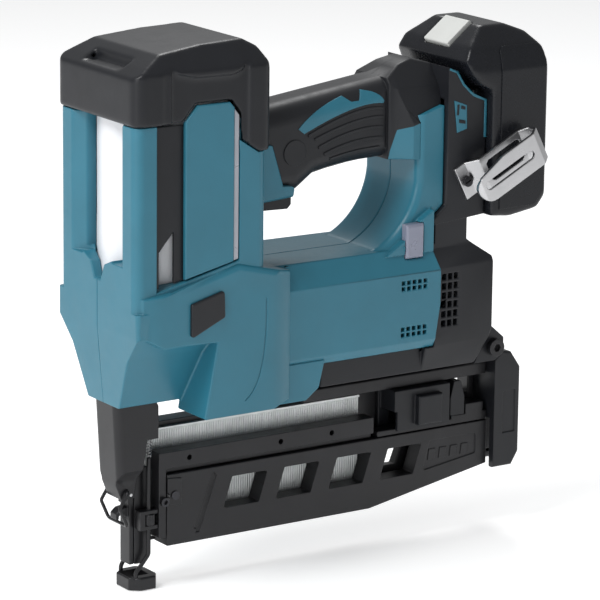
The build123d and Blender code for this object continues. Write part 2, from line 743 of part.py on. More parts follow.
with BuildPart() as motor_shaft:
    with BuildSketch(along_x(36.0)):
        Circle(2.5)
    extrude(amount=98)
motor_shaft.part.label = "motor_shaft"
export_step(motor_shaft.part, "parts/motor_shaft.step")

with BuildPart() as cooling_fan:
    with BuildSketch(along_x(116.0)):
        Circle(18.0)
        Circle(2.5, mode=Mode.SUBTRACT)
    extrude(amount=1.6)
    with BuildSketch(along_x(117.6)):
        Circle(6.0)
        Circle(2.5, mode=Mode.SUBTRACT)
        with PolarLocations(11.5, 11):
            Rectangle(12.6, 1.4)
    extrude(amount=6.4)
cooling_fan.part.label = "cooling_fan"
export_step(cooling_fan.part, "parts/cooling_fan.step")

with BuildPart() as motor_bearings:
    for x in (56.0, 127.0):
        with BuildSketch(along_x(x)):
            Circle(8.0)
            Circle(2.5 + FIT, mode=Mode.SUBTRACT)
        extrude(amount=5)
        with BuildSketch(along_x(x + 4.4)):
            Circle(6.6)
            Circle(4.0, mode=Mode.SUBTRACT)
        extrude(amount=0.6, mode=Mode.SUBTRACT)
motor_bearings.part.label = "motor_bearings"
export_step(motor_bearings.part, "parts/motor_bearings.step")

with BuildPart() as motor_carrier:
    with BuildSketch(along_x(126.0)):
        Circle(20.0)
        Circle(8.0, mode=Mode.SUBTRACT)
        with PolarLocations(13.5, 4, 45):
            Circle(4.2, mode=Mode.SUBTRACT)
    extrude(amount=7)
motor_carrier.part.label = "motor_carrier"
export_step(motor_carrier.part, "parts/motor_carrier.step")

with BuildPart() as gearbox_case:
    with BuildSketch(along_x(26.5)):
        Circle(19.0)
    extrude(amount=35.5)
    with BuildSketch(along_x(29.0)):
        Circle(16.5)
    extrude(amount=27, mode=Mode.SUBTRACT)
    with BuildSketch(along_x(56.0)):
        Circle(8.0)
    extrude(amount=6, mode=Mode.SUBTRACT)
    with BuildSketch(along_x(26.0)):
        Circle(4.0 + FIT)
    extrude(amount=6, mode=Mode.SUBTRACT)
gearbox_case.part.label = "gearbox_case"
export_step(gearbox_case.part, "parts/gearbox_case.step")


def gear(teeth, root, tip, plane, width, bore, inside=False):
    """Plain trapezoid-tooth gear; an inside gear has its teeth facing the axis."""
    points = []
    for tooth in range(teeth):
        for share, radius in ((-0.28, root), (-0.12, tip), (0.12, tip), (0.28, root)):
            angle = 2 * math.pi * (tooth + share) / teeth
            points.append((radius * math.cos(angle), radius * math.sin(angle)))
    with BuildPart() as wheel:
        with BuildSketch(plane):
            if inside:
                Circle(bore)
            with BuildLine():
                Polyline(*points, close=True)
            make_face(mode=Mode.SUBTRACT if inside else Mode.ADD)
            if not inside and bore:
                Circle(bore, mode=Mode.SUBTRACT)
        extrude(amount=width)
    return wheel.part


SUN_TEETH = 12
PLANET_TEETH = 15
RING_TEETH = 42
PLANET_ORBIT = 9.2
with BuildPart() as sun_gear:
    add(gear(SUN_TEETH, 3.6, 4.6, along_x(36.2), 9, 2.5))
sun_gear.part.label = "sun_gear"
export_step(sun_gear.part, "parts/sun_gear.step")

with BuildPart() as ring_gear:
    add(gear(RING_TEETH, 14.9, 13.9, along_x(34.0), 13, 16.5, inside=True))
ring_gear.part.label = "ring_gear"
export_step(ring_gear.part, "parts/ring_gear.step")

with BuildPart() as planet_gears:
    for turn in range(3):
        angle = 2 * math.pi * turn / 3
        centre = (
            36.2,
            MOTOR_Y + PLANET_ORBIT * math.cos(angle),
            MOTOR_Z + PLANET_ORBIT * math.sin(angle),
        )
        across = Plane(origin=centre, x_dir=(0, 1, 0), z_dir=(1, 0, 0))
        add(gear(PLANET_TEETH, 3.3, 4.2, across, 9, 1.5 + FIT))
planet_gears.part.label = "planet_gears"
export_step(planet_gears.part, "parts/planet_gears.step")

LIFTER_PINS = 6
LIFTER_ORBIT = 7.2
with BuildPart() as planet_carrier:
    with BuildSketch(along_x(30.0)):
        Circle(13.2)
    extrude(amount=5)
    with BuildSketch(along_x(35.0)):
        with PolarLocations(PLANET_ORBIT, 3):
            Circle(1.5)
    extrude(amount=11)
    with BuildSketch(along_x(4.6)):
        Circle(4.0)
    extrude(amount=25.4)
planet_carrier.part.label = "planet_carrier"
export_step(planet_carrier.part, "parts/planet_carrier.step")

with BuildPart() as lifter_wheel:
    for x in (-4.6, 2.2):
        with BuildSketch(along_x(x)):
            Circle(10.5)
        extrude(amount=2.4)
    with BuildSketch(along_x(-2.2)):
        Circle(4.0)
        with PolarLocations(LIFTER_ORBIT, LIFTER_PINS):
            Circle(1.4)
    extrude(amount=4.4)
lifter_wheel.part.label = "lifter_wheel"
export_step(lifter_wheel.part, "parts/lifter_wheel.step")

with BuildPart() as controller_board:
    with Locations((156.0, -27.0, 148.0)):
        Box(34, 1.6, 36)
    with Locations((156.0, -25.2, 148.0)):
        with GridLocations(9, 1, 3, 1):
            Box(6, 2, 8)
controller_board.part.label = "controller_board"
export_step(controller_board.part, "parts/controller_board.step")

# ---------------------------------------------------------------- trigger
TRIGGER = [
    (66.5, 229.5),
    (76.0, 229.5),
    (98.5, 222.0),
    (100.5, 220.0),
    (100.5, 214.5),
    (98.0, 212.0),
    (74.0, 212.8),
    (66.5, 217.0),
]
with BuildPart() as trigger:
    extrude(outline(Plane.XZ, TRIGGER, 1.4), amount=7.6, both=True)
    fillet(trigger.edges().filter_by(lambda e: abs(e.center().Y) > 7.5 and e.center().Z < 221), 1.2)
    with Locations(Plane.XZ * Location((TRIGGER_X, TRIGGER_Z, 0))):
        Cylinder(TRIGGER_PIN_R + FIT, 30, mode=Mode.SUBTRACT)
trigger.part.label = "trigger"
export_step(trigger.part, "parts/trigger.step")

with BuildPart() as trigger_pin:
    with Locations(Plane.XZ * Location((TRIGGER_X, TRIGGER_Z, 0))):
        Cylinder(TRIGGER_PIN_R, 24)
trigger_pin.part.label = "trigger_pin"
export_step(trigger_pin.part, "parts/trigger_pin.step")

with BuildPart() as trigger_switch:
    with Locations((94.0, 0, 244.0)):
        Box(20, 12, 12)
    with Locations((94.0, 0, 236.6)):
        Cylinder(2.0, 3.0)
trigger_switch.part.label = "trigger_switch"
export_step(trigger_switch.part, "parts/trigger_switch.step")


def coil(radius, wire, low, high, turns, x, y):
    """Helical spring standing along Z."""
    pitch = (high - low) / turns
    with BuildPart() as spring:
        with BuildLine() as line:
            path = Helix(pitch, high - low, radius)
        with BuildSketch(Plane(origin=path @ 0, z_dir=path % 0)):
            Circle(wire)
        sweep(path=path)
    return Location((x, y, low)) * spring.part


with BuildPart() as trigger_spring:
    add(coil(1.9, 0.3, 229.0, 231.6, 2, 81.0, 0.0))
trigger_spring.part.label = "trigger_spring"
export_step(trigger_spring.part, "parts/trigger_spring.step")

# ---------------------------------------------------------------- battery
BATTERY_SIDE = [
    (BATTERY_FACE, 199.0),
    (BATTERY_FACE, 274.0),
    (213.5, 277.5),
    (207.0, 284.0),
    (203.0, 292.0),
    (207.0, 300.0),
    (221.0, BATTERY_TOP),
    (238.0, BATTERY_TOP),
    (251.0, 306.0),
    (259.6, 296.5),
    (BATTERY_REAR, 287.0),
    (BATTERY_REAR, 208.0),
    (256.0, 200.5),
    (236.0, BATTERY_BOTTOM),
]
BATTERY_ACROSS = [(BATTERY_HALF, 190.0), (BATTERY_HALF, 286.0), (34.0, 299.0), (23.0, 311.5)]


def battery_room():
    """Hollow of the battery's case, the case's form set in all round."""
    with BuildPart() as room:
        with BuildSketch(Plane.XZ):
            with BuildLine():
                Polyline(*BATTERY_SIDE, close=True)
            make_face()
            offset(amount=-1.9, kind=Kind.INTERSECTION)
        extrude(amount=BATTERY_HALF - 2.2, both=True)
        across = [(y - 2.2, z - 2.2) for y, z in BATTERY_ACROSS]
        extrude(outline(Plane.YZ.offset(190), mirrored(across)), amount=90, mode=Mode.INTERSECT)
    return room.part


with BuildPart() as battery_case:
    extrude(outline(Plane.XZ, BATTERY_SIDE), amount=BATTERY_HALF, both=True)
    extrude(outline(Plane.YZ.offset(190), mirrored(BATTERY_ACROSS)), amount=90, mode=Mode.INTERSECT)
    side_edges = battery_case.edges().filter_by(lambda e: abs(e.center().Y) > BATTERY_HALF - 0.1)
    rim = side_edges.filter_by(lambda e: e.center().Z < 284)
    fillet(rim, 2.6)
    add(battery_room(), mode=Mode.SUBTRACT)
    # slide-on neck between the rails of the tool
    with Locations(((RAIL_LIP_X + BATTERY_FACE) / 2, 0, 236.0)):
        Box(BATTERY_FACE - RAIL_LIP_X + 2.0, 37.0, 70.0)
    with Locations((RAIL_LIP_X - 2.0, 0, 236.0)):
        Box(3.4, 45.0, 70.0)
    for y in (-9.0, 0.0, 9.0):
        with Locations((215.0, y, 222.0)):
            Box(12, 2.4, 60, mode=Mode.SUBTRACT)
    # room inside for the release button
    with Locations((215.6, 0, 303.3)):
        with Locations(Rotation(0, -38, 0)):
            Box(21.4, 24.4, 9.0, mode=Mode.SUBTRACT)
battery_case.part.label = "battery_case"
export_step(battery_case.part, "parts/battery_case.step")

with BuildPart() as battery_button:
    with Locations((214.7, 0, 304.5)):
        with Locations(Rotation(0, -38, 0)):
            Box(20.6, 23.6, 4.0)
            fillet(battery_button.edges().filter_by(GeomType.LINE).sort_by(Axis.Z)[-1], 1.0)
battery_button.part.label = "battery_button"
export_step(battery_button.part, "parts/battery_button.step")

CELL_R = 8.85
with BuildPart() as battery_cells:
    for x in (232.5, 250.6):
        for row in range(5):
            with Locations(Plane.XZ * Location((x, 213.2 + 17.9 * row, 0))):
                Cylinder(CELL_R, 65.0)
battery_cells.part.label = "battery_cells"
export_step(battery_cells.part, "parts/battery_cells.step")

with BuildPart() as terminal_block:
    with Locations((209.5, 0, 222.0)):
        Box(5.0, 30.0, 30.0)
    for y in (-9.0, 0.0, 9.0):
        with Locations((214.5, y, 222.0)):
            Box(5.0, 0.9, 22.0)
terminal_block.part.label = "terminal_block"
export_step(terminal_block.part, "parts/terminal_block.step")

# ---------------------------------------------------------------- belt hook
HOOK_WIDE = 21.0
HOOK_SHEET = 2.0
HOOK_TILT = math.radians(27.0)
HOOK_FOOT = (202.5, -31.0 - HOOK_SHEET / 2, 219.5)
HOOK_LINE = [
    (0.0, 0.0),
    (8.0, 0.0),
    (14.0, -7.2),
    (45.0, -7.2),
    (51.0, -11.5),
    (51.0, -16.5),
    (46.0, -20.6),
    (2.0, -20.6),
    (-3.0, -17.4),
]
hook_run = (math.cos(HOOK_TILT), 0, math.sin(HOOK_TILT))
hook_across = (-math.sin(HOOK_TILT), 0, math.cos(HOOK_TILT))
hook_plane = Plane(origin=HOOK_FOOT, x_dir=hook_run, z_dir=hook_across)
hook_face = Plane(origin=HOOK_FOOT, x_dir=hook_run, z_dir=(0, -1, 0))
with BuildPart() as belt_hook:
    with BuildSketch(hook_plane):
        with BuildLine():
            Polyline(*HOOK_LINE)
        trace(line_width=HOOK_SHEET)
    extrude(amount=HOOK_WIDE / 2, both=True)
    # long slot of the outer leg
    with BuildSketch(hook_face.offset(17)):
        with Locations((23.0, 0)):
            SlotOverall(38.0, 5.6)
    extrude(amount=8, mode=Mode.SUBTRACT)
    # hole of the foot's screw
    with BuildSketch(hook_face.offset(-2)):
        with Locations((4.4, 0)):
            Circle(2.1)
    extrude(amount=4, mode=Mode.SUBTRACT)
belt_hook.part.label = "belt_hook"
export_step(belt_hook.part, "parts/belt_hook.step")

# ---------------------------------------------------------------- nose
NOSE_SHOULDER = [(8.0, 50.0), (8.0, 66.0), (14.0, 74.0), (14.0, 50.0)]
SPRING_SEAT_Z = 89.5
BAIL_WIRE = 1.0
BAIL_X = -10.5
BAIL_Z = 60.0
COVER_X = -7.4
COVER_Z = 57.0
NOSE_SIDE = [
    (-20.5, 114.0),
    (-17.5, 64.0),
    (-14.0, 55.0),
    (-5.2, 55.0),
    (-3.5, 66.0),
    (0.0, 84.0),
    (0.6, SPRING_SEAT_Z),
    (8.0, SPRING_SEAT_Z),
    (8.0, 109.0),
    (5.0, 114.0),
]
CHANNEL = (BLADE_THICK / 2 + 0.1, BLADE_WIDE / 2 + 0.15)
with BuildPart() as nose_body:
    extrude(outline(Plane.XZ, NOSE_SIDE), amount=MAG_HALF, both=True)
    corner_edges = nose_body.edges().filter_by(
        lambda e: abs(e.center().Y) > MAG_HALF - 0.1 and e.center().X < -15 and abs(e.tangent_at(0.5).Z) > 0.8
    )
    fillet(corner_edges, 5)
    # shoulders narrow towards the tip
    for sign in (-1, 1):
        extrude(
            outline(Plane.YZ.offset(-30), [(sign * y, z) for y, z in NOSE_SHOULDER]),
            amount=50,
            mode=Mode.SUBTRACT,
        )
    with Locations((-4.0, 0, 112)):
        Box(16, 18, 40, mode=Mode.ADD)
    # tip of the driver guide
    with Locations((0.5, 0, 43.0)):
        Box(9.0, 11.0, 58.0)
    chamfer(nose_body.edges().group_by(Axis.Z)[0], 1.2)
    with Locations((0, 0, 90)):
        Box(2 * CHANNEL[0], 2 * CHANNEL[1], 160, mode=Mode.SUBTRACT)
    # mouth that lets the first nail in from the magazine
    with Locations((6.0, 0, 60.0)):
        Box(12.0, 3.6, 65.2, mode=Mode.SUBTRACT)
    # bail pivot and cover pin holes
    with Locations(Plane.XZ * Location((BAIL_X, BAIL_Z, 0))):
        Cylinder(BAIL_WIRE + FIT, 40, mode=Mode.SUBTRACT)
    with Locations(Plane.XZ * Location((COVER_X, COVER_Z, 0))):
        Cylinder(1.0, 16, mode=Mode.SUBTRACT)
    # room for the nose cover and its hinge
    with Locations((-6.2, 0, 34.0)):
        Box(4.6, 12.0, 46.0, mode=Mode.SUBTRACT)
    with Locations((-8.6, 0, 57.6)):
        Box(9.6, 11.4, 7.2, mode=Mode.SUBTRACT)
nose_body.part.label = "nose_body"
export_step(nose_body.part, "parts/nose_body.step")

COVER_HOOK = [
    (-6.0, 43.0),
    (-6.0, 49.0),
    (-11.5, 48.2),
    (-14.6, 45.6),
    (-14.6, 42.0),
    (-12.8, 42.0),
    (-12.6, 44.0),
    (-10.0, 45.2),
    (-8.4, 43.0),
]
with BuildPart() as nose_cover:
    with Locations((-5.6, 0, 35.5)):
        Box(2.6, 10.6, 42.0)
    with Locations(Plane.XZ * Location((COVER_X, COVER_Z, 0))):
        Cylinder(2.2, 10.6)
    with Locations((-6.6, 0, 53.5)):
        Box(3.0, 10.6, 7.0)
    extrude(outline(Plane.XZ, COVER_HOOK), amount=3.5, both=True)
    with Locations(Plane.XZ * Location((COVER_X, COVER_Z, 0))):
        Cylinder(1.0 + FIT, 12, mode=Mode.SUBTRACT)
nose_cover.part.label = "nose_cover"
export_step(nose_cover.part, "parts/nose_cover.step")

with BuildPart() as cover_pin:
    with Locations(Plane.XZ * Location((COVER_X, COVER_Z, 0))):
        Cylinder(1.0, 15.9)
cover_pin.part.label = "cover_pin"
export_step(cover_pin.part, "parts/cover_pin.step")

BAIL_HALF = 10.4
with BuildPart() as latch_bail:
    with BuildLine():
        bail_path = FilletPolyline(
            (BAIL_X, -6.0, BAIL_Z),
            (BAIL_X, -BAIL_HALF, BAIL_Z),
            (-16.5, -BAIL_HALF, 51.0),
            (-11.5, -BAIL_HALF, 39.8),
            (-11.5, BAIL_HALF, 39.8),
            (-16.5, BAIL_HALF, 51.0),
            (BAIL_X, BAIL_HALF, BAIL_Z),
            (BAIL_X, 6.0, BAIL_Z),
            radius=2.2,
        )
    with BuildSketch(Plane(origin=bail_path @ 0, z_dir=bail_path % 0)):
        Circle(BAIL_WIRE)
    sweep(path=bail_path)
latch_bail.part.label = "latch_bail"
export_step(latch_bail.part, "parts/latch_bail.step")

# ---------------------------------------------------------------- contact element
ROD_X = 3.2
ROD_Y = 9.6
ROD_R = 1.25
FOOT_TOP = 7.5
ROD_TOP = 78.0
FOOT_PLAN = [(-8.5, 7.0), (-3.0, 11.5), (7.0, 11.5), (10.5, 6.0)]
ROD_FOOT_X = -4.6
ROD_FOOT_Y = 8.3
DIAL_LOW = 38.6
DIAL_HIGH = 44.8
DIAL_MID = (DIAL_LOW + DIAL_HIGH) / 2
with BuildPart() as contact_foot:
    plan = FOOT_PLAN + [(x, -y) for x, y in reversed(FOOT_PLAN)]
    extrude(outline(Plane.XY, plan, 1.5), amount=FOOT_TOP)
    fillet(contact_foot.edges().group_by(Axis.Z)[-1], 1.2)
    with Locations((-1.0, 0, 4)):
        Box(13.2, 12.6, 10, mode=Mode.SUBTRACT)
    for sign in SIDES:
        with Locations((ROD_FOOT_X, sign * ROD_FOOT_Y, FOOT_TOP)):
            Cylinder(ROD_R, 7.0, mode=Mode.SUBTRACT)
contact_foot.part.label = "contact_foot"
export_step(contact_foot.part, "parts/contact_foot.step")

with BuildPart() as contact_rods:
    for sign in SIDES:
        with BuildLine():
            rod_path = FilletPolyline(
                (ROD_FOOT_X, sign * ROD_FOOT_Y, FOOT_TOP - 3.5),
                (ROD_FOOT_X, sign * ROD_FOOT_Y, FOOT_TOP + 2.5),
                (ROD_X, sign * ROD_Y, 20.5),
                (ROD_X, sign * ROD_Y, ROD_TOP),
                radius=4.0,
            )
        with BuildSketch(Plane(origin=rod_path @ 0, z_dir=rod_path % 0)):
            Circle(ROD_R)
        sweep(path=rod_path)
    # stirrup that holds the depth dial, welded to the left rod
    with Locations((1.8, -ROD_Y, DIAL_MID)):
        Box(11.6, 5.6, DIAL_HIGH - DIAL_LOW + 5.0)
    with Locations((ROD_X + 1.2, -ROD_Y, DIAL_MID)):
        Box(10.0, 9.0, DIAL_HIGH - DIAL_LOW + 0.7, mode=Mode.SUBTRACT)
    with Locations((ROD_X, -ROD_Y, DIAL_MID)):
        Cylinder(ROD_R, DIAL_HIGH - DIAL_LOW + 4.0)
contact_rods.part.label = "contact_rods"
export_step(contact_rods.part, "parts/contact_rods.step")

with BuildPart() as contact_springs:
    for sign in SIDES:
        add(coil(1.5, 0.3, ROD_TOP + 0.4, SPRING_SEAT_Z - 0.4, 6, ROD_X, sign * ROD_Y))
contact_springs.part.label = "contact_springs"
export_step(contact_springs.part, "parts/contact_springs.step")

with BuildPart() as depth_dial:
    with BuildSketch(Plane.XY.offset(DIAL_LOW)):
        with Locations((ROD_X, -ROD_Y)):
            Circle(3.6)
            Circle(ROD_R + FIT, mode=Mode.SUBTRACT)
            with PolarLocations(3.7, 14):
                Circle(0.35, mode=Mode.SUBTRACT)
    extrude(amount=DIAL_HIGH - DIAL_LOW)
depth_dial.part.label = "depth_dial"
export_step(depth_dial.part, "parts/depth_dial.step")

# ---------------------------------------------------------------- magazine
SLOT_HALF = 1.75
FRONT_FRAME = 13.0
DOOR_TOP = 67.0
RAIL_LOW = 67.4
RAIL_TOP = 80.3
RAIL_REAR = 157.0
BOTTOM_BREAK = 155.0
REAR_BOTTOM = 40.0
BODY_SIDE = [
    (MAG_FRONT + 0.2, MAG_BOTTOM + 4),
    (MAG_FRONT + 0.2, 95.0),
    (MAG_REAR, 95.0),
    (MAG_REAR, REAR_BOTTOM + 0.4),
    (BOTTOM_BREAK, MAG_BOTTOM),
    (12.0, MAG_BOTTOM),
]
WINDOW_LEFTS = [57.8, 94.0, 131.0, 167.5]
WINDOW_WIDE = 24.5
WINDOW_LOW = 41.3
WINDOW_HIGH = 59.5
WINDOW_LEAN = 6.0


def window(left, wide, low, high):
    """Leaning window outline."""
    return [
        (left - WINDOW_LEAN, low),
        (left - WINDOW_LEAN + wide, low),
        (left + wide, high),
        (left, high),
    ]


with BuildPart() as magazine_body:
    extrude(outline(side_plane(MAG_HALF), BODY_SIDE), amount=MAG_HALF - SLOT_HALF)
    # long channels along the outside
    with Locations((118.0, MAG_HALF, 46.0)):
        Box(196, 10, 22, mode=Mode.SUBTRACT)
    with Locations((118.0, MAG_HALF, 76.0)):
        Box(208, 8, 20, mode=Mode.SUBTRACT)
    # two openings that show daylight
    daylight = window(WINDOW_LEFTS[3] + 0.8, 20.5, WINDOW_LOW + 3, WINDOW_HIGH)
    extrude(outline(side_plane(20), daylight), amount=40, mode=Mode.SUBTRACT)
    with Locations((229.5, 10.0, 87.5)):
        Box(13, 20, 12, mode=Mode.SUBTRACT)
    # tail bridge across the slot, behind the pusher's travel
    with Locations(((214.0 + MAG_REAR) / 2, (SLOT_HALF - 12.4) / 2, (RAIL_LOW + 73.0) / 2)):
        Box(MAG_REAR - 214.0, 12.4 + SLOT_HALF, 73.0 - RAIL_LOW)
    with Locations(((160.0 + MAG_REAR) / 2, -(12.4 + SLOT_HALF) / 2, (RAIL_LOW + 71.0) / 2)):
        Box(MAG_REAR - 160.0, 12.4 - SLOT_HALF, 71.0 - RAIL_LOW)
    with Locations((231.0, -(12.4 + SLOT_HALF) / 2, 75.0)):
        Box(13.0, 12.4 - SLOT_HALF, 8.0)
magazine_body.part.label = "magazine_body"
export_step(magazine_body.part, "parts/magazine_body.step")

with BuildPart() as magazine_rail:
    with Locations(((FRONT_FRAME + RAIL_REAR) / 2, -(MAG_HALF + SLOT_HALF) / 2, (RAIL_TOP + 70.5) / 2)):
        Box(RAIL_REAR - FRONT_FRAME, MAG_HALF - SLOT_HALF, RAIL_TOP - 70.5)
    with Locations(((FRONT_FRAME + RAIL_REAR) / 2, -(10.2 + SLOT_HALF) / 2, (RAIL_LOW + 70.5) / 2)):
        Box(RAIL_REAR - FRONT_FRAME, 10.2 - SLOT_HALF, 70.5 - RAIL_LOW)
    with Locations(((MAG_FRONT + 0.2 + FRONT_FRAME) / 2, -(MAG_HALF + SLOT_HALF) / 2, 55.0)):
        Box(FRONT_FRAME - MAG_FRONT - 0.2, MAG_HALF - SLOT_HALF, 50.6)
    for x in (28.6, 91.2, 127.0):
        with Locations(Plane.XZ * Location((x, 75.4, MAG_HALF))):
            Cylinder(1.6, 8, mode=Mode.SUBTRACT)
magazine_rail.part.label = "magazine_rail"
export_step(magazine_rail.part, "parts/magazine_rail.step")

DOOR_FRONT = FRONT_FRAME + 0.5
DOOR_SIDE = [
    (DOOR_FRONT, MAG_BOTTOM),
    (DOOR_FRONT, DOOR_TOP),
    (MAG_REAR, DOOR_TOP),
    (MAG_REAR, REAR_BOTTOM),
    (BOTTOM_BREAK, MAG_BOTTOM),
]
BOTTOM_WALL = [
    (DOOR_FRONT, MAG_BOTTOM),
    (BOTTOM_BREAK, MAG_BOTTOM),
    (MAG_REAR, REAR_BOTTOM),
    (MAG_REAR, REAR_BOTTOM + 3.0),
    (BOTTOM_BREAK, MAG_BOTTOM + 3.0),
    (DOOR_FRONT, MAG_BOTTOM + 3.0),
]
FRONT_GROOVE = [(33.0, 29.6), (35.6, 29.6), (47.4, 62.2), (44.8, 62.2)]
REAR_FIELD = [(193.0, 42.0), (232.0, 47.5), (232.0, 60.0), (198.0, 60.0)]
with BuildPart() as magazine_door:
    extrude(outline(side_plane(-SLOT_HALF), DOOR_SIDE), amount=MAG_HALF - SLOT_HALF)
    extrude(outline(side_plane(SLOT_HALF - 0.4), BOTTOM_WALL), amount=2 * SLOT_HALF)
    for left in WINDOW_LEFTS:
        pane = window(left, WINDOW_WIDE, WINDOW_LOW, WINDOW_HIGH)
        extrude(outline(side_plane(0), pane, 1.0), amount=20, mode=Mode.SUBTRACT)
    extrude(outline(side_plane(1.2 - MAG_HALF), FRONT_GROOVE), amount=4, mode=Mode.SUBTRACT)
    extrude(outline(side_plane(0.8 - MAG_HALF), REAR_FIELD, 1.5), amount=4, mode=Mode.SUBTRACT)
magazine_door.part.label = "magazine_door"
export_step(magazine_door.part, "parts/magazine_door.step")

with BuildPart() as magazine_top:
    with Locations(((108.0 + MAG_REAR) / 2, 0, 99.3)):
        Box(MAG_REAR - 108.0, 22.0, 7.6)
    with Locations(((108.0 + MAG_REAR) / 2, 0, 106.2)):
        Box(MAG_REAR - 108.0, 16.0, 6.2)
    chamfer(magazine_top.edges().filter_by(Axis.X).group_by(Axis.Z)[1], 0.8)
magazine_top.part.label = "magazine_top"
export_step(magazine_top.part, "parts/magazine_top.step")

with BuildPart() as nail_strip:
    # round wires that meet side by side, under flat heads
    with BuildSketch(Plane.XY.offset(NAIL_TOP - NAIL_LEN)):
        for nail in range(NAIL_COUNT):
            with Locations((NAIL_FIRST + nail * NAIL_PITCH, 0)):
                Circle(NAIL_D / 2)
    extrude(amount=NAIL_LEN - HEAD_THICK)
    with BuildSketch(Plane.XY.offset(NAIL_TOP - HEAD_THICK)):
        with Locations((NAIL_FIRST + STRIP_LEN / 2, 0)):
            Rectangle(STRIP_LEN + 1.4, 2.9)
    extrude(amount=HEAD_THICK)
nail_strip.part.label = "nail_strip"
export_step(nail_strip.part, "parts/nail_strip.step")

with BuildPart() as pusher:
    with Locations((172.0, 0, 77.5)):
        Box(8.0, 2.6, 33.0)
    with Locations((190.0, -7.35, 88.5)):
        Box(40.0, 17.3, 13.0)
    with Locations((191.0, -14.7, 82.5)):
        Box(38.0, 2.6, 25.0)
    with Locations((193.0, -18.0, 82.0)):
        Box(17.0, 5.2, 18.0)
    knob_rim = pusher.edges().filter_by(lambda e: e.center().Y < -20.5)
    fillet(knob_rim, 1.2)
pusher.part.label = "pusher"
export_step(pusher.part, "parts/pusher.step")

CATCH_SIDE = [(213.2, 73.0), (223.4, 73.0), (223.4, 84.0), (220.5, 94.0), (215.7, 94.0), (213.2, 84.0)]
with BuildPart() as magazine_catch:
    extrude(outline(side_plane(-SLOT_HALF - 0.4), CATCH_SIDE, 0.8), amount=10.2)
magazine_catch.part.label = "magazine_catch"
export_step(magazine_catch.part, "parts/magazine_catch.step")

CAP_END = 260.0
END_CAP = [
    (MAG_REAR + 1.0, 38.0),
    (MAG_REAR + 1.0, 106.0),
    (246.0, 110.5),
    (253.0, 109.0),
    (CAP_END, 99.0),
    (CAP_END, 46.0),
    (255.0, 38.0),
]
EAR = [
    (MAG_REAR + 6, 100.0),
    (MAG_REAR + 6, 112.0),
    (237.5, 119.0),
    (234.0, 123.6),
    (228.0, 123.6),
    (225.0, 119.0),
    (227.0, 113.6),
    (MAG_REAR + 1, 109.8),
    (MAG_REAR + 1, 100.0),
]
with BuildPart() as magazine_end_cap:
    extrude(outline(Plane.XZ, END_CAP), amount=19.0, both=True)
    outer_edges = magazine_end_cap.edges().filter_by(lambda e: abs(e.center().Y) > 18.9)
    rim = outer_edges.filter_by(lambda e: e.center().X > MAG_REAR + 2)
    fillet(rim, 1.5)
    # passage for the sliding door
    with Locations((250.0, -7.4, 50.0)):
        Box(30.0, 12.6, 35.2, mode=Mode.SUBTRACT)
    with Locations((250.0, -5.9, 38.0)):
        Box(30.0, 15.6, 13.0, mode=Mode.SUBTRACT)
    # hollows that lighten the cap
    with Locations((249.0, 8.0, 70.0)):
        Box(14.0, 14.0, 56.0, mode=Mode.SUBTRACT)
    with Locations((249.0, -8.0, 84.0)):
        Box(14.0, 14.0, 26.0, mode=Mode.SUBTRACT)
    # shallow field on each outer side
    for y in (-19.0, 19.0):
        with Locations((252.0, y, 72.0)):
            Box(9.0, 1.6, 26.0, mode=Mode.SUBTRACT)
    # ear that hangs on the bolt
    extrude(outline(Plane.XZ, EAR), amount=11.0, both=True)
    with Locations(Plane.XZ * Location((BOLT_X, BOLT_Z, 0))):
        Cylinder(BOLT_R + FIT, 40, mode=Mode.SUBTRACT)
magazine_end_cap.part.label = "magazine_end_cap"
export_step(magazine_end_cap.part, "parts/magazine_end_cap.step")

# ---------------------------------------------------------------- screws
# Pan heads on the right side, as (X, Z, face of the casing).
CASE_SCREWS = [
    (-14.8, 232.0, CAGE_HALF),
    (52.0, 172.0, BODY_HALF),
    (34.0, 116.0, BODY_HALF),
    (92.0, 140.0, MOTOR_HALF),
    (150.0, 134.0, MOTOR_HALF),
    (184.0, 236.0, COLUMN_HALF),
    (210.0, 140.0, REAR_HALF),
    (206.0, 250.0, 31.0),
]
HEAD_R = 2.8
with BuildPart() as screws:
    for x, z, face in CASE_SCREWS:
        with Locations(Plane.XZ * Location((x, z, -face - 0.9))):
            Cylinder(HEAD_R, 1.8)
        with Locations(Plane.XZ * Location((x, z, -face - 1.8))):
            Box(3.4, 0.8, 1.4, mode=Mode.SUBTRACT)
            Box(0.8, 3.4, 1.4, mode=Mode.SUBTRACT)
    # screw of the belt hook
    with BuildSketch(hook_face.offset(HOOK_SHEET / 2)):
        with Locations((4.4, 0)):
            Circle(3.2)
            Rectangle(4.2, 0.9, mode=Mode.SUBTRACT)
    extrude(amount=2.0)
    # socket screw of the magazine's front block
    with Locations(Plane.XZ * Location((11.0, 51.8, MAG_HALF + 1.4))):
        Cylinder(2.6, 2.8)
    with BuildSketch(side_plane(-MAG_HALF - 1.4)):
        with Locations((11.0, 51.8)):
            RegularPolygon(1.5, 6)
    extrude(amount=3, mode=Mode.SUBTRACT)
screws.part.label = "screws"
export_step(screws.part, "parts/screws.step")
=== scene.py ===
"""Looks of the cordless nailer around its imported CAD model."""

import json
from math import cos, pi, radians, sin

import bmesh
import bpy
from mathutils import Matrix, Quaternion, Vector
from mathutils.bvhtree import BVHTree
from mathutils.kdtree import KDTree

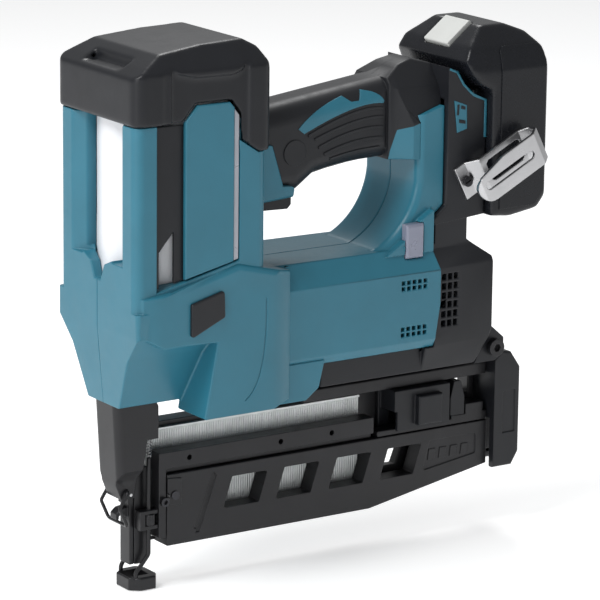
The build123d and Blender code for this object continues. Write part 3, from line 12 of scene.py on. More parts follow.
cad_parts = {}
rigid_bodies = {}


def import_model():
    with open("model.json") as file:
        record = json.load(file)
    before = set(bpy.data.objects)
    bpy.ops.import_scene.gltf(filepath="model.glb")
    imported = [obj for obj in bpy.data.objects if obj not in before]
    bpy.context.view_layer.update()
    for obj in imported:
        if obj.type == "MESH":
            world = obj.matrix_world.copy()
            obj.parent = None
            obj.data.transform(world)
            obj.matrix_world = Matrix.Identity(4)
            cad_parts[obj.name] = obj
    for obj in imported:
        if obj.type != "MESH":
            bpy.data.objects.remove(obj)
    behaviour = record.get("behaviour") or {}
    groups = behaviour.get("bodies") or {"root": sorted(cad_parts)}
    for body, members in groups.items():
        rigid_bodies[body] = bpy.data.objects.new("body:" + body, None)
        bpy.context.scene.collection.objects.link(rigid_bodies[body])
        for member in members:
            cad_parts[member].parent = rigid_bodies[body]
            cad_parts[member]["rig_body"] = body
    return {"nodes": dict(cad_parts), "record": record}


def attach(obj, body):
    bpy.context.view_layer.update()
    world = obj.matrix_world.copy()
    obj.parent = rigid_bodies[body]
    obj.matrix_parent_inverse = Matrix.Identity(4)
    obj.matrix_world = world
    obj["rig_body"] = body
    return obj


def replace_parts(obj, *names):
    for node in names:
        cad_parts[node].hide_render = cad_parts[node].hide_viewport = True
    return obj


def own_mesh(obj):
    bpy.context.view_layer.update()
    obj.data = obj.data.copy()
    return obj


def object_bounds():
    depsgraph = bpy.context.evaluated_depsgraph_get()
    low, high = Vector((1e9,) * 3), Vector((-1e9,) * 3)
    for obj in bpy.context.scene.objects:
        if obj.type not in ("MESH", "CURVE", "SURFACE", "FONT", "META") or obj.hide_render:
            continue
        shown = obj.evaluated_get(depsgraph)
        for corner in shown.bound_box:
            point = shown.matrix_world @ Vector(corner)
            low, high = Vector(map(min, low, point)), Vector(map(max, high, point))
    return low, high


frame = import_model()
cad_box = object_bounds()
NODES = frame["nodes"]
MM = 0.001
SLOT_OF = {part["node"]: part["material_slot"] for part in frame["record"]["subparts"]}
BODY_OF = {name: node["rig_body"] for name, node in NODES.items()}


# ---------------------------------------------------------------- materials
# size of the patches along the lighter edges, which stand for wear and a painted highlight
WEAR_AND_HIGHLIGHT_PATCH = 6 * MM
GLOSS_PATCH = 9 * MM


def add_node(tree, kind, inputs=None, **settings):
    """A shader node with its settings, and its inputs set to values or linked to sockets."""
    node = tree.nodes.new(kind)
    for key, value in settings.items():
        setattr(node, key, value)
    for key, value in (inputs or {}).items():
        if isinstance(value, bpy.types.NodeSocket):
            tree.links.new(value, node.inputs[key])
        else:
            node.inputs[key].default_value = value
    return node


def scaled(colour, factor):
    return tuple(min(1.0, channel * factor) for channel in colour[:3]) + (1.0,)


def noise_of(tree, size, detail=3.0, squeeze=(1, 1, 1)):
    """Noise whose features are about size metres across, squeezed along the axes."""
    place = add_node(tree, "ShaderNodeTexCoord").outputs["Object"]
    stretch = add_node(tree, "ShaderNodeMapping", {"Vector": place, "Scale": squeeze})
    noise = add_node(
        tree,
        "ShaderNodeTexNoise",
        {"Vector": stretch.outputs["Vector"], "Scale": 1.0 / size, "Detail": detail, "Roughness": 0.6},
    )
    return noise.outputs["Fac"]


def ranged(tree, value, low, high, start=0.3, end=0.7):
    """A noise value spread from low to high."""
    spread = add_node(
        tree,
        "ShaderNodeMapRange",
        {"Value": value, "From Min": start, "From Max": end, "To Min": low, "To Max": high},
    )
    return spread.outputs["Result"]


def blended(tree, share, first, second):
    mix = add_node(tree, "ShaderNodeMix", data_type="RGBA")
    for key, value in (("Factor_Float", share), ("A_Color", first), ("B_Color", second)):
        socket = next(s for s in mix.inputs if s.identifier == key)
        if isinstance(value, bpy.types.NodeSocket):
            tree.links.new(value, socket)
        else:
            socket.default_value = value
    return next(s for s in mix.outputs if s.identifier == "Result_Color")


def edge_share(tree, radius):
    """How much a point lies on a rounded edge, and the rounded normal there."""
    rounded = add_node(tree, "ShaderNodeBevel", {"Radius": radius}, samples=4)
    plain = add_node(tree, "ShaderNodeNewGeometry").outputs["Normal"]
    facing = add_node(
        tree, "ShaderNodeVectorMath", {0: rounded.outputs["Normal"], 1: plain}, operation="DOT_PRODUCT"
    )
    share = ranged(tree, facing.outputs["Value"], 1.0, 0.0, 0.80, 0.99)
    return share, rounded.outputs["Normal"]


def finish_material(
    name,
    base,
    rough,
    grain=0.5 * MM,
    relief=0.02 * MM,
    variation=0.10,
    patch=35 * MM,
    wear_and_highlight=0.25,
    wear_and_highlight_colour=None,
    metal=0.0,
    coat=0.0,
    specular=0.5,
    squeeze=(1, 1, 1),
    edge=0.7 * MM,
):
    """Base colour with broad and fine variation, lighter edges that stand for wear and a painted highlight,
    uneven gloss and a fine grain.

    grain and relief are the width and height of the grain, patch the size of the broad variation, and
    squeeze stretches the grain into brush marks.
    """
    material = bpy.data.materials.new(name)
    material.use_nodes = True
    tree = material.node_tree
    shader = tree.nodes["Principled BSDF"]
    broad = ranged(tree, noise_of(tree, patch), 0.0, 1.0)
    colour = blended(tree, broad, scaled(base, 1 - variation), scaled(base, 1 + variation))
    fine = noise_of(tree, grain, 2.0, squeeze)
    speckle = ranged(tree, fine, 0.0, 0.35)
    colour = blended(tree, speckle, colour, scaled(base, 1 - 1.5 * variation))
    # edges lighter than the base: partly wear, partly a painted highlight
    on_edge, rounded = edge_share(tree, edge)
    wear_and_highlight_amount = ranged(tree, noise_of(tree, WEAR_AND_HIGHLIGHT_PATCH), 0.2 * wear_and_highlight, wear_and_highlight)
    wear_and_highlight_share = add_node(tree, "ShaderNodeMath", {0: on_edge, 1: wear_and_highlight_amount}, operation="MULTIPLY")
    colour = blended(tree, wear_and_highlight_share.outputs["Value"], colour, wear_and_highlight_colour or scaled(base, 2.2))
    tree.links.new(colour, shader.inputs["Base Color"])
    gloss = ranged(tree, noise_of(tree, GLOSS_PATCH), rough * 0.88, rough * 1.12)
    tree.links.new(gloss, shader.inputs["Roughness"])
    shader.inputs["Metallic"].default_value = metal
    shader.inputs["Coat Weight"].default_value = coat
    shader.inputs["Coat Roughness"].default_value = 0.12
    shader.inputs["Specular IOR Level"].default_value = specular
    bump = add_node(
        tree, "ShaderNodeBump", {"Height": fine, "Strength": 0.6, "Distance": relief, "Normal": rounded}
    )
    tree.links.new(bump.outputs["Normal"], shader.inputs["Normal"])
    return material


MATERIALS = {
    "teal_plastic": finish_material(
        "teal_moulded", (0.023, 0.160, 0.230), 0.36, 0.35 * MM, 0.012 * MM, 0.07, wear_and_highlight=0.22
    ),
    "black_plastic": finish_material(
        "black_moulded", (0.012, 0.013, 0.016), 0.36, 0.45 * MM, 0.02 * MM, 0.12, wear_and_highlight=0.30, specular=0.32
    ),
    "soft_grip": finish_material(
        "grip_rubber", (0.013, 0.014, 0.017), 0.46, 0.6 * MM, 0.035 * MM, 0.12, wear_and_highlight=0.22, specular=0.36
    ),
    "black_metal": finish_material(
        "black_coated_metal",
        (0.012, 0.012, 0.014),
        0.32,
        0.7 * MM,
        0.012 * MM,
        0.2,
        wear_and_highlight=0.45,
        wear_and_highlight_colour=(0.11, 0.11, 0.12, 1),
        metal=0.3,
    ),
    "black_alloy": finish_material(
        "black_anodised_alloy",
        (0.014, 0.014, 0.016),
        0.38,
        0.6 * MM,
        0.012 * MM,
        0.18,
        wear_and_highlight=0.4,
        wear_and_highlight_colour=(0.10, 0.10, 0.105, 1),
        metal=0.3,
    ),
    "bare_alloy": finish_material(
        "cast_alloy", (0.58, 0.58, 0.59), 0.36, 0.9 * MM, 0.02 * MM, 0.08, wear_and_highlight_colour=(0.8, 0.8, 0.8, 1), metal=1.0
    ),
    "steel": finish_material(
        "brushed_steel",
        (0.56, 0.56, 0.57),
        0.30,
        0.5 * MM,
        0.006 * MM,
        0.08,
        wear_and_highlight_colour=(0.8, 0.8, 0.8, 1),
        metal=1.0,
        squeeze=(0.06, 1, 1),
    ),
    "spring_steel": finish_material(
        "drawn_wire", (0.40, 0.40, 0.41), 0.32, 0.3 * MM, 0.005 * MM, 0.1, metal=1.0, edge=0.2 * MM
    ),
    "nail_steel": finish_material(
        "galvanised_nails",
        (0.62, 0.64, 0.64),
        0.38,
        0.8 * MM,
        0.02 * MM,
        0.12,
        patch=12 * MM,
        wear_and_highlight_colour=(0.8, 0.8, 0.8, 1),
        metal=0.75,
        squeeze=(1, 1, 0.15),
        edge=0.25 * MM,
    ),
    "screw_steel": finish_material(
        "black_zinc_screws",
        (0.05, 0.05, 0.055),
        0.30,
        0.4 * MM,
        0.008 * MM,
        0.15,
        wear_and_highlight_colour=(0.25, 0.25, 0.26, 1),
        metal=0.9,
        edge=0.3 * MM,
    ),
    "silver_trim": finish_material(
        "silver_paint", (0.36, 0.37, 0.41), 0.30, 0.25 * MM, 0.006 * MM, 0.06, metal=0.55, coat=0.3
    ),
    "white_tank": finish_material(
        "white_satin_paint",
        (0.78, 0.79, 0.82),
        0.32,
        1.2 * MM,
        0.01 * MM,
        0.03,
        wear_and_highlight_colour=(0.85, 0.85, 0.86, 1),
        coat=0.25,
    ),
    "battery_plastic": finish_material(
        "battery_moulded", (0.009, 0.010, 0.013), 0.27, 0.5 * MM, 0.014 * MM, 0.12, wear_and_highlight=0.30, specular=0.32
    ),
    "button_plastic": finish_material(
        "pale_button", (0.62, 0.63, 0.61), 0.40, 0.5 * MM, 0.012 * MM, 0.04, wear_and_highlight_colour=(0.75, 0.75, 0.74, 1)
    ),
    "cell_wrap": finish_material("cell_wrap", (0.05, 0.18, 0.42), 0.35, 0.8 * MM, 0.01 * MM, 0.06),
    "motor_iron": finish_material(
        "laminated_iron",
        (0.22, 0.21, 0.20),
        0.45,
        0.5 * MM,
        0.02 * MM,
        0.15,
        metal=0.9,
        squeeze=(1, 0.1, 0.1),
    ),
    "fan_plastic": finish_material("fan_moulded", (0.03, 0.03, 0.03), 0.5),
    "seal_rubber": finish_material("seal_rubber", (0.02, 0.02, 0.02), 0.6),
    "circuit_board": finish_material("solder_mask", (0.01, 0.09, 0.045), 0.3, 1.5 * MM, 0.02 * MM, 0.2),
    "switch_plastic": finish_material("switch_moulded", (0.05, 0.05, 0.05), 0.45),
}


def lens_material():
    """Frosted lilac-grey plastic in front of a light."""
    material = finish_material(
        "frosted_lens",
        (0.30, 0.32, 0.42),
        0.30,
        0.6 * MM,
        0.02 * MM,
        0.08,
        wear_and_highlight_colour=(0.6, 0.62, 0.7, 1),
        coat=0.4,
    )
    shader = material.node_tree.nodes["Principled BSDF"]
    shader.inputs["Transmission Weight"].default_value = 0.25
    return material


MATERIALS["lens"] = lens_material()


# ---------------------------------------------------------------- pieces
WELD = 0.01 * MM
FLAT_ANGLE = radians(2.0)
SHARP_ANGLE = radians(29.0)
CREASE_ANGLE = radians(38)
# share of the room beside an edge that its rounding may take, and the least share worth rounding
ROOM_SHARE = 0.4
LEAST_SHARE = 0.1
# distances in rounding widths: reach of the search for room, size of a spared place, allowed straying
REACH = 3.0
SPARED = 2.5
STRAYING = 0.75
ROUNDS = 5


def place(mesh, name, body, slot):
    """A mesh as a piece that rides on a body and has a slot's material."""
    piece = bpy.data.objects.new(name, mesh)
    bpy.context.scene.collection.objects.link(piece)
    mesh.materials.clear()
    mesh.materials.append(MATERIALS[slot])
    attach(piece, body)
    return piece


def sharp_edges(form):
    return [e for e in form.edges if len(e.link_faces) == 2 and e.calc_face_angle(0.0) > SHARP_ANGLE]


def samples_on(edge, step):
    """Points along an edge, about a step apart."""
    start, end = (v.co for v in edge.verts)
    count = max(1, round(edge.calc_length() / step))
    return [start.lerp(end, (i + 0.5) / count) for i in range(count)]


def room_beside(edges, width):
    """For each sharp edge, the distance to the nearest sharp edge that it doesn't meet, within reach."""
    reach = REACH * width
    points = [(place, edge) for edge in edges for place in samples_on(edge, width)]
    tree = KDTree(len(points))
    for i, (place, _) in enumerate(points):
        tree.insert(place, i)
    tree.balance()
    room = {}
    for place, edge in points:
        for _, i, distance in tree.find_range(place, reach):
            other = points[i][1]
            if other is not edge and not set(edge.verts) & set(other.verts):
                room[edge] = min(room.get(edge, reach), distance)
    return room


def weigh_edges(form, width, spared, inner):
    """Bevel weights: full on long free edges, less beside short or near ones, none near the spared places.

    Inner corners are rounded too only where inner is true.
    """
    weight = form.edges.layers.float.new("bevel_weight_edge")
    edges = sharp_edges(form)
    room = room_beside(edges, width)
    for edge in edges:
        shortest = min(e.calc_length() for v in edge.verts for e in v.link_edges)
        share = min(1.0, ROOM_SHARE * min(shortest, room.get(edge, REACH * width)) / width)
        if any((v.co - place).length < SPARED * width for v in edge.verts for place in spared):
            share = 0.0
        if not inner and not edge.is_convex:
            share = 0.0
        edge[weight] = share if share > LEAST_SHARE else 0.0


def add_prism(form, outline, low, high, along="y"):
    """Adds a closed prism to the form: an outline in mm across the given axis, from low to high along it."""
    ends = []
    for level in (low, high):
        corners = []
        for a, b in outline:
            point = {"x": (level, a, b), "y": (a, level, b), "z": (a, b, level)}[along]
            corners.append(form.verts.new([c * MM for c in point]))
        ends.append(corners)
    form.faces.new(ends[0])
    form.faces.new(list(reversed(ends[1])))
    count = len(outline)
    for i in range(count):
        j = (i + 1) % count
        form.faces.new((ends[0][j], ends[0][i], ends[1][i], ends[1][j]))


def prisms_mesh(prisms):
    form = bmesh.new()
    for prism in prisms:
        add_prism(form, *prism)
    bmesh.ops.recalc_face_normals(form, faces=form.faces)
    mesh = bpy.data.meshes.new("prisms")
    form.to_mesh(mesh)
    form.free()
    return mesh


def both_sides(outlines, inner, outer):
    """Prisms of the XZ outlines on the left and the right, from inner to outer across."""
    return [(outline, sign * inner, sign * outer, "y") for outline in outlines for sign in (-1, 1)]


def evaluated(holder):
    graph = bpy.context.evaluated_depsgraph_get()
    mesh = bpy.data.meshes.new_from_object(holder.evaluated_get(graph))
    bpy.data.objects.remove(holder)
    return mesh


def held(mesh):
    holder = bpy.data.objects.new("holder", mesh)
    bpy.context.scene.collection.objects.link(holder)
    return holder


def combined(mesh, prisms, operation):
    """The mesh after a boolean with the prisms."""
    holder = held(mesh)
    tool = held(prisms_mesh(prisms))
    step = holder.modifiers.new("step", "BOOLEAN")
    step.operation = operation
    step.object = tool
    step.solver = "EXACT"
    result = evaluated(holder)
    bpy.data.objects.remove(tool)
    return result


def cleaned(node):
    """A CAD node's mesh after its cuts, welded, with its flat faces whole again."""
    form = bmesh.new()
    form.from_mesh(NODES[node].data)
    bmesh.ops.remove_doubles(form, verts=form.verts, dist=WELD)
    if node in CUTS:
        mesh = bpy.data.meshes.new("shaped")
        form.to_mesh(mesh)
        form.free()
        for block in FILLS.get(node, []):
            mesh = combined(mesh, [block], "UNION")
        for cut in CUTS[node]:
            mesh = combined(mesh, [cut], "DIFFERENCE")
        form = bmesh.new()
        form.from_mesh(mesh)
    bmesh.ops.remove_doubles(form, verts=form.verts, dist=WELD)
    bmesh.ops.dissolve_limit(form, angle_limit=FLAT_ANGLE, verts=form.verts, edges=form.edges)
    return form


def strays(mesh, surface, width):
    """Corners of a rounded mesh that left the CAD surface by more than rounding may."""
    limit = STRAYING * width
    return [v.co.copy() for v in mesh.vertices if (surface.find_nearest(v.co)[3] or 0) > limit]


def rounded_mesh(node, width, segments):
    """The node's mesh with rounded edges, sparing the corners where rounding would leave the surface."""
    source = cleaned(node)
    surface = BVHTree.FromBMesh(source)
    source.free()
    spared = []
    for _ in range(ROUNDS):
        form = cleaned(node)
        weigh_edges(form, width, spared, node not in BORED)
        mesh = bpy.data.meshes.new(node + "_soft")
        form.to_mesh(mesh)
        form.free()
        holder = held(mesh)
        rounding = holder.modifiers.new("rounding", "BEVEL")
        rounding.limit_method = "WEIGHT"
        rounding.width = width
        rounding.segments = segments
        rounding.use_clamp_overlap = False
        rounded = evaluated(holder)
        rounded.name = node + "_soft"
        found = strays(rounded, surface, width)
        if not found:
            break
        spared += found
    return rounded


def softened(node, width, segments=2):
    """A copy of a CAD node with its sharp edges rounded, which stands for the node."""
    mesh = rounded_mesh(node, width, segments)
    piece = place(mesh, node + "_soft", BODY_OF[node], SLOT_OF[node])
    mesh.shade_smooth()
    mesh.set_sharp_from_angle(angle=CREASE_ANGLE)
    normals = piece.modifiers.new("normals", "WEIGHTED_NORMAL")
    normals.keep_sharp = True
    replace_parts(piece, node)
    return piece


def band(line, width):
    """Closed outline of a strip of the given width along a line of points."""
    points = [Vector(p) for p in line]
    left, right = [], []
    for i, point in enumerate(points):
        before, after = points[max(i - 1, 0)], points[min(i + 1, len(points) - 1)]
        run = (after - before).normalized()
        side = Vector((-run.y, run.x)) * width / 2
        left.append(tuple(point + side))
        right.append(tuple(point - side))
    return left + right[::-1]


def arc(start, through, end, count=10):
    """Points on the parabola through three points."""
    a, b, c = (Vector(p) for p in (start, through, end))
    control = 2 * b - (a + c) / 2
    shares = [i / count for i in range(count + 1)]
    return [tuple((1 - t) ** 2 * a + 2 * t * (1 - t) * control + t * t * c) for t in shares]


def circle(x, z, radius, count=24):
    """Points round a circle."""
    turn = [2 * pi * i / count for i in range(count)]
    return [(x + radius * cos(t), z + radius * sin(t)) for t in turn]


OVERLAY_STEP = 2.5 * MM
OVERLAY_SINK = 0.8 * MM
OVERLAY_CREASE = radians(40)
OUTSIDE = 80 * MM


def divided(form, longest):
    """Splits the form's edges until none is longer than the given length."""
    for _ in range(8):
        long_edges = [e for e in form.edges if e.calc_length() > longest]
        if not long_edges:
            return
        bmesh.ops.subdivide_edges(form, edges=long_edges, cuts=1)
        bmesh.ops.triangulate(form, faces=form.faces)


def overlay(name, node, outline, proud, sign, least, slot=None):
    """A raised piece on a node's left (sign -1) or right side, which follows the surface under the outline.

    It stands proud of the surface. Where the surface is nearer the middle than least, the nearest place
    further out is used.
    """
    source = cleaned(node)
    surface = BVHTree.FromBMesh(source)
    source.free()
    form = bmesh.new()
    form.faces.new([form.verts.new((x * MM, sign * OUTSIDE, z * MM)) for x, z in outline])
    bmesh.ops.triangulate(form, faces=form.faces)
    divided(form, OVERLAY_STEP)
    for vert in form.verts:
        hit = surface.ray_cast(vert.co, Vector((0, -sign, 0)))[0]
        if hit is None or sign * hit.y < least * MM:
            hit = surface.find_nearest(Vector((vert.co.x, sign * least * MM, vert.co.z)))[0]
        vert.co = hit + Vector((0, sign * proud * MM, 0))
    top = form.faces[:]
    skirt = bmesh.ops.extrude_face_region(form, geom=top)
    for vert in (g for g in skirt["geom"] if isinstance(g, bmesh.types.BMVert)):
        vert.co.y -= sign * (proud * MM + OVERLAY_SINK)
    bmesh.ops.recalc_face_normals(form, faces=form.faces)
    mesh = bpy.data.meshes.new(name)
    form.to_mesh(mesh)
    form.free()
    mesh.shade_smooth()
    mesh.set_sharp_from_angle(angle=OVERLAY_CREASE)
    place(mesh, name, BODY_OF[node], slot or SLOT_OF[node])


def moulded(node, grid, passes):
    """A soft-edged copy of a CAD node, which stands for it: a fine even mesh of its shape, smoothed."""
    form = cleaned(node)
    mesh = bpy.data.meshes.new(node + "_moulded")
    form.to_mesh(mesh)
    form.free()
    holder = held(mesh)
    even = holder.modifiers.new("even", "REMESH")
    even.mode = "VOXEL"
    even.voxel_size = grid * MM
    soft = holder.modifiers.new("soft", "SMOOTH")
    soft.factor = 0.5
    soft.iterations = passes
    mesh = evaluated(holder)
    mesh.name = node + "_moulded"
    mesh.shade_smooth()
    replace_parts(place(mesh, node + "_moulded", BODY_OF[node], SLOT_OF[node]), node)


def inside(x, z, outline):
    """Whether a side-view point lies inside an outline."""
    crossings = 0
    for (x0, z0), (x1, z1) in zip(outline, outline[1:] + outline[:1]):
        if (z0 > z) != (z1 > z) and x < x0 + (x1 - x0) * (z - z0) / (z1 - z0):
            crossings += 1
    return crossings % 2 == 1


def recoloured(piece, name, outline, slot, body):
    """Moves the faces of a piece inside a side-view outline to a new piece of another material."""
    form = bmesh.new()
    form.from_mesh(piece.data)
    for (x0, z0), (x1, z1) in zip(outline, outline[1:]):
        everything = form.verts[:] + form.edges[:] + form.faces[:]
        normal = Vector((z1 - z0, 0, x0 - x1))
        bmesh.ops.bisect_plane(
            form, geom=everything, dist=WELD / 100, plane_co=Vector((x0, 0, z0)) * MM, plane_no=normal
        )
    other = form.copy()
    for half, kept in ((form, False), (other, True)):
        centres = [(face, face.calc_center_median() / MM) for face in half.faces]
        lost = [face for face, centre in centres if inside(centre.x, centre.z, outline) != kept]
        bmesh.ops.delete(half, geom=lost, context="FACES")
    form.to_mesh(piece.data)
    mesh = bpy.data.meshes.new(name)
    other.to_mesh(mesh)
    form.free()
    other.free()
    mesh.shade_smooth()
    mesh.set_sharp_from_angle(angle=CREASE_ANGLE)
    place(mesh, name, body, slot)


def squeezed(node, joint, fixed_end, keep):
    """A copy of a spring, which stands for it."""
    mesh = NODES[node].data.copy()
    mesh.shade_smooth()
    piece = place(mesh, node + "_coils", BODY_OF[node], SLOT_OF[node])
    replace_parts(piece, node)
    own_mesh(piece)


# ---------------------------------------------------------------- shapes cut into the CAD forms, in mm
CAP_SIDE_RECESS = [
    (-3, 240),
    (-3, 309),
    (2.3, 305),
    (13, 302.3),
    (37, 301.8),
    (42.2, 303.6),
    (48, 308.8),
    (48, 240),
]
CAP_SIDE_GROOVE = [(-8.2, 270), (-8.2, 309), (-5.6, 310.5), (-3.4, 309.4), (-3.4, 270)]
CAP_NOTCH = [(-40, -20), (-13, -20), (-13, 20), (-40, 20)]
CAP_NOTCH_BACKING = [
    (-21, 298),
    (-13, 298),
    (-13, 300),
    (-8, 300),
    (-8, 311),
    (-13, 311),
    (-13, 306.2),
    (-21, 306.2),
]
PILLAR_BEVEL = [(-26, 28.9), (-26, 16), (-16.5, 16)]
ENGINE_CURVE = band(arc((59.8, 172), (56.9, 133), (46, 114)), 0.8)
BATTERY_GROOVE = [(223.6, 190), (223.6, 301.5), (225.2, 303), (225.2, 190)]
DOOR_GROOVE = band([(45.3, 63.8), (33.0, 32.0)], 2.4)
HOOK_FOOT = (202.5, 219.5)
HOOK_TILT = radians(27)


def on_hook(points):
    """Side-view points from lengths along and across the belt hook's face."""
    turned = []
    for along, across in points:
        x = HOOK_FOOT[0] + along * cos(HOOK_TILT) - across * sin(HOOK_TILT)
        z = HOOK_FOOT[1] + along * sin(HOOK_TILT) + across * cos(HOOK_TILT)
        turned.append((x, z))
    return turned


# rounded end of the hook's outer leg: middle along and across the face, and radius
HOOK_END = (8, -1.3)
HOOK_END_RADIUS = 9.2
HOOK_TIP = [
    (HOOK_END[0] + HOOK_END_RADIUS * cos(radians(turn)), HOOK_END[1] + HOOK_END_RADIUS * sin(radians(turn)))
    for turn in range(270, 105, -15)
]
HOOK_SCRAP = on_hook([(-8, -13), (8, -13)] + HOOK_TIP + [(22, 10.6), (22, 13), (-8, 13)])
HOOK_WINDOW = on_hook(
    [(17, -5.5), (17, 5.5), (19, 7), (41, 7), (43, 5.5), (43, -5.5), (41, -7), (19, -7)]
)

CUTS = {
    "top_cap": both_sides([CAP_SIDE_RECESS], 41.7, 50)
    + both_sides([CAP_SIDE_GROOVE], 43.2, 50)
    + [(CAP_NOTCH, 305.8, 330, "z")],
    "housing_left": [
        ([(x, -y) for x, y in PILLAR_BEVEL], 196.5, 300, "z"),
        (ENGINE_CURVE, -60, -44.0, "y"),
    ],
    "housing_right": [
        (PILLAR_BEVEL, 196.5, 300, "z"),
        (ENGINE_CURVE, 44.0, 60, "y"),
    ],
    "battery_case": both_sides([BATTERY_GROOVE], 36.4, 50),
    "magazine_door": [(DOOR_GROOVE, -20, -12.0, "y")],
    "belt_hook": [(HOOK_SCRAP, -60, -44, "y"), (HOOK_WINDOW, -44, -36, "y")],
}

# joined to a node before its cuts
FILLS = {"top_cap": [(CAP_NOTCH_BACKING, -24, 24, "y")]}

# pieces whose inner corners stay sharp, because another piece runs in them
BORED = ("nose_body", "trigger")

# voxel size in mm and smoothing passes
MOULDED = {"top_cap": (0.8, 24), "battery_case": (1.0, 30)}

# width of the rounded edges in mm
ROUNDING = {
    "grip_covers": 1.4,
    "housing_left": 1.2,
    "housing_right": 1.2,
    "rear_housing_left": 0.9,
    "rear_housing_right": 0.9,
    "side_liners": 0.5,
    "side_panels": 0.5,
    "trim_strips": 0.4,
    "bumper_pads": 0.4,
    "battery_button": 0.8,
    "magazine_hangers": 0.8,
    "magazine_end_cap": 1.2,
    "magazine_body": 0.6,
    "magazine_rail": 0.5,
    "magazine_top": 0.5,
    "magazine_door": 0.5,
    "magazine_catch": 0.4,
    "pusher": 0.5,
    "nose_body": 0.7,
    "nose_cover": 0.5,
    "contact_foot": 0.5,
    "trigger": 0.8,
    "belt_hook": 0.3,
    "light_lens": 0.5,
    "tank_base": 0.5,
}

# joint, height of the fixed end in mm and share of the length left at the joint's limit
SPRINGS = {
    "contact_springs": ("contact_slide", 89.3, 0.08),
    "trigger_spring": ("trigger_pull", 231.8, 0.15),
}

# ---------------------------------------------------------------- shapes raised on the sides, in mm
# lower end of the handle's tail, in the housing's colour
HANDLE_ROOT = [(158.5, 225), (161.0, 242), (164.5, 254), (198, 264.5), (198, 225)]
GRIP_INLAY = (
    arc((97.7, 260.5), (110, 269.6), (129.1, 276.6))
    + [(134.4, 272.9), (139.8, 273.1), (142.3, 279.0)]
    + arc((149.0, 277.6), (154.0, 275.0), (157.2, 271.6), 4)
    + arc((156.6, 270.2), (134.0, 268.6), (101.6, 257.5))
)
GRIP_RIBS = [
    ((104.5, 256.0), (135.0, 266.2), (156.8, 267.2)),
    ((109.0, 253.4), (136.0, 261.0), (156.6, 262.2)),
    ((111.5, 248.4), (135.0, 255.4), (156.4, 256.3)),
    ((115.4, 244.2), (135.8, 249.4), (156.0, 250.1)),
    ((119.9, 240.8), (137.0, 243.6), (154.6, 244.3)),
]
GRIP_BOSS = circle(95.4, 247.0, 7.6)
BADGE = [(197.6, 269.8), (206.4, 266.4), (206.9, 252.4), (200.0, 250.6)]
TRIM_LINE = [(193.6, 288.8), (199.5, 286.4), (204.4, 278.5), (211.6, 271.8), (220.2, 268.0), (220.2, 246.0)]
BADGE_MARKS = [
    [(199.6, 267.2), (201.0, 267.2), (200.6, 261.0), (199.4, 261.0)],
    [(202.4, 266.6), (205.2, 265.6), (205.2, 263.8), (202.3, 264.6)],
    [(201.0, 258.4), (205.4, 257.4), (205.4, 255.4), (201.0, 256.4)],
]
DOOR_PLATE = [(7.8, 49.7), (8.0, 65.5), (23.0, 64.2), (23.0, 48.3)]
DOOR_SCREW = circle(18.4, 54.5, 2.6)
DOOR_MARKS = [
    [(x, 48.0), (x + 0.8, 54.6), (x + 5.6, 54.6), (x + 4.8, 48.0)] for x in (197.0, 205.0, 213.0, 221.0)
]
BEVEL_TICKS = [
    [(x, 187.0), (x + 1.4, 187.0), (x + 4.0, 181.6), (x + 2.6, 181.6)] for x in (162.0, 168.5)
]
BATTERY_PANEL = [
    (227.0, 203.0),
    (227.0, 297.5),
    (229.0, 299.6),
    (252.0, 299.6),
    (259.0, 291.5),
    (259.0, 211.0),
    (252.5, 203.4),
]


def grip_pieces():
    """Coloured inlay, ribs and round boss on each side of the handle."""
    for side, sign in (("left", -1), ("right", 1)):
        overlay("grip_inlay_" + side, "grip_covers", GRIP_INLAY, 0.4, sign, 8, "teal_plastic")
        for number, ends in enumerate(GRIP_RIBS, 1):
            overlay(f"grip_rib_{side}_{number}", "grip_covers", band(arc(*ends), 1.5), 0.6, sign, 12)
        overlay("grip_boss_" + side, "grip_covers", GRIP_BOSS, 0.5, sign, 12)


def side_marks():
    """Raised plate, screw and plain marks on the magazine's door, and two ticks above the motor."""
    overlay("door_plate", "magazine_door", DOOR_PLATE, 0.8, -1, 11)
    overlay("door_plate_screw", "magazine_door", DOOR_SCREW, 1.6, -1, 11, "screw_steel")
    for number, mark in enumerate(DOOR_MARKS, 1):
        overlay(f"door_mark_{number}", "magazine_door", mark, 0.5, -1, 11)
    for number, tick in enumerate(BEVEL_TICKS, 1):
        overlay(f"bevel_tick_{number}", "housing_left", tick, 0.4, -1, 20)


def rear_pieces():
    """Badge with plain bars, coloured line and battery panel on each side."""
    for side, sign in (("left", -1), ("right", 1)):
        node = "rear_housing_" + side
        overlay("badge_" + side, node, BADGE, 0.5, sign, 30.5, "teal_plastic")
        for number, mark in enumerate(BADGE_MARKS, 1):
            overlay(f"badge_mark_{side}_{number}", node, mark, 0.8, sign, 30.5)
        overlay("trim_line_" + side, node, band(TRIM_LINE, 1.6), 0.35, sign, 30.5, "teal_plastic")
        overlay("battery_panel_" + side, "battery_case", BATTERY_PANEL, 0.6, sign, 30)


for node, (grid, passes) in MOULDED.items():
    moulded(node, grid, passes)
soft_pieces = {node: softened(node, width * MM) for node, width in ROUNDING.items()}
for node, spring in SPRINGS.items():
    squeezed(node, *spring)
recoloured(soft_pieces["grip_covers"], "handle_root", HANDLE_ROOT, "teal_plastic", BODY_OF["grip_covers"])
grip_pieces()
rear_pieces()
side_marks()

for name, node in NODES.items():
    node.data.materials.clear()
    node.data.materials.append(MATERIALS[SLOT_OF[name]])


# ---------------------------------------------------------------- floor, lights, camera
def plain_material(name, colour, rough):
    material = bpy.data.materials.new(name)
    material.use_nodes = True
    shader = material.node_tree.nodes["Principled BSDF"]
    shader.inputs["Base Color"].default_value = colour
    shader.inputs["Roughness"].default_value = rough
    return material


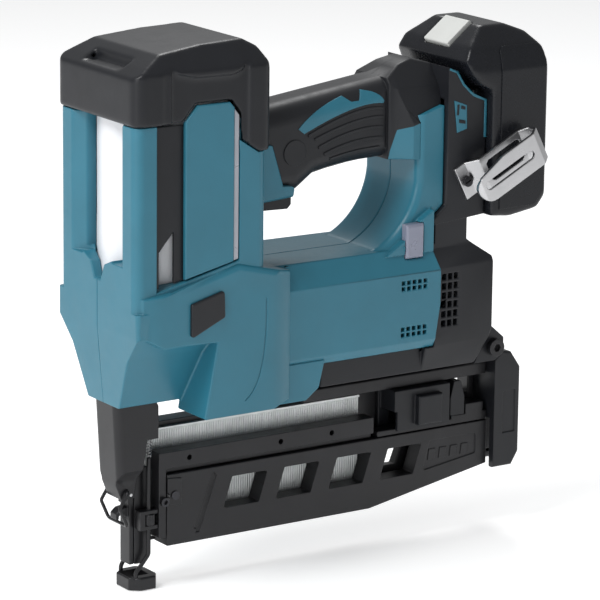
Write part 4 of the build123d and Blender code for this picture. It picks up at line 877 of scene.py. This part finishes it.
def make_floor(half=9.0):
    """A pale floor under the tool."""
    low, _ = cad_box
    form = bmesh.new()
    level = low.z - 0.5 * MM
    form.faces.new(
        [form.verts.new((x * half, y * half, level)) for x, y in ((-1, -1), (1, -1), (1, 1), (-1, 1))]
    )
    mesh = bpy.data.meshes.new("floor")
    form.to_mesh(mesh)
    form.free()
    material = plain_material("pale_floor", (0.95, 0.95, 0.95, 1), 0.9)
    shader = material.node_tree.nodes["Principled BSDF"]
    shader.inputs["Emission Color"].default_value = (1, 1, 1, 1)
    shader.inputs["Emission Strength"].default_value = 0.40
    mesh.materials.append(material)
    floor = bpy.data.objects.new("floor", mesh)
    bpy.context.scene.collection.objects.link(floor)


def facing(direction, roll=0.0):
    """Rotation that looks along the direction with its up side up, turned by roll."""
    return direction.to_track_quat("-Z", "Y") @ Quaternion((0, 0, 1), roll)


def outward(azimuth, elevation):
    """Unit vector from the tool towards a viewer."""
    a, e = radians(azimuth), radians(elevation)
    return Vector((sin(a) * cos(e), -cos(a) * cos(e), sin(e)))


AIM = Vector((0.1121, 0.0, 0.1548))
VIEW_AZIMUTH = -33.75
VIEW_ELEVATION = 13.8
VIEW_ROLL = 0.65
VIEW_DISTANCE = 2.1705


def make_camera():
    data = bpy.data.cameras.new("camera")
    data.lens = 223.5
    data.sensor_width = 36.0
    data.clip_end = 40.0
    camera = bpy.data.objects.new("camera", data)
    bpy.context.scene.collection.objects.link(camera)
    back = outward(VIEW_AZIMUTH, VIEW_ELEVATION)
    camera.location = AIM + back * VIEW_DISTANCE
    camera.rotation_mode = "QUATERNION"
    camera.rotation_quaternion = facing(-back, radians(VIEW_ROLL))
    bpy.context.scene.camera = camera


def add_light(name, azimuth, elevation, distance, size, power):
    data = bpy.data.lights.new(name, "AREA")
    data.shape = "DISK"
    data.size = size
    data.energy = power
    light = bpy.data.objects.new(name, data)
    bpy.context.scene.collection.objects.link(light)
    direction = outward(azimuth, elevation)
    light.location = AIM + direction * distance
    light.rotation_mode = "QUATERNION"
    light.rotation_quaternion = facing(-direction)


def make_lights():
    add_light("key", -80, 50, 1.6, 0.7, 15)
    add_light("fill", -70, 12, 2.2, 0.6, 7)
    add_light("back", 150, 50, 1.8, 0.7, 10)
    world = bpy.data.worlds.new("studio")
    world.use_nodes = True
    sky = world.node_tree.nodes["Background"]
    sky.inputs["Color"].default_value = (0.98, 0.99, 1.0, 1)
    sky.inputs["Strength"].default_value = 0.38
    bpy.context.scene.world = world
    bpy.context.scene.view_settings.view_transform = "Standard"


make_floor()
make_camera()
make_lights()
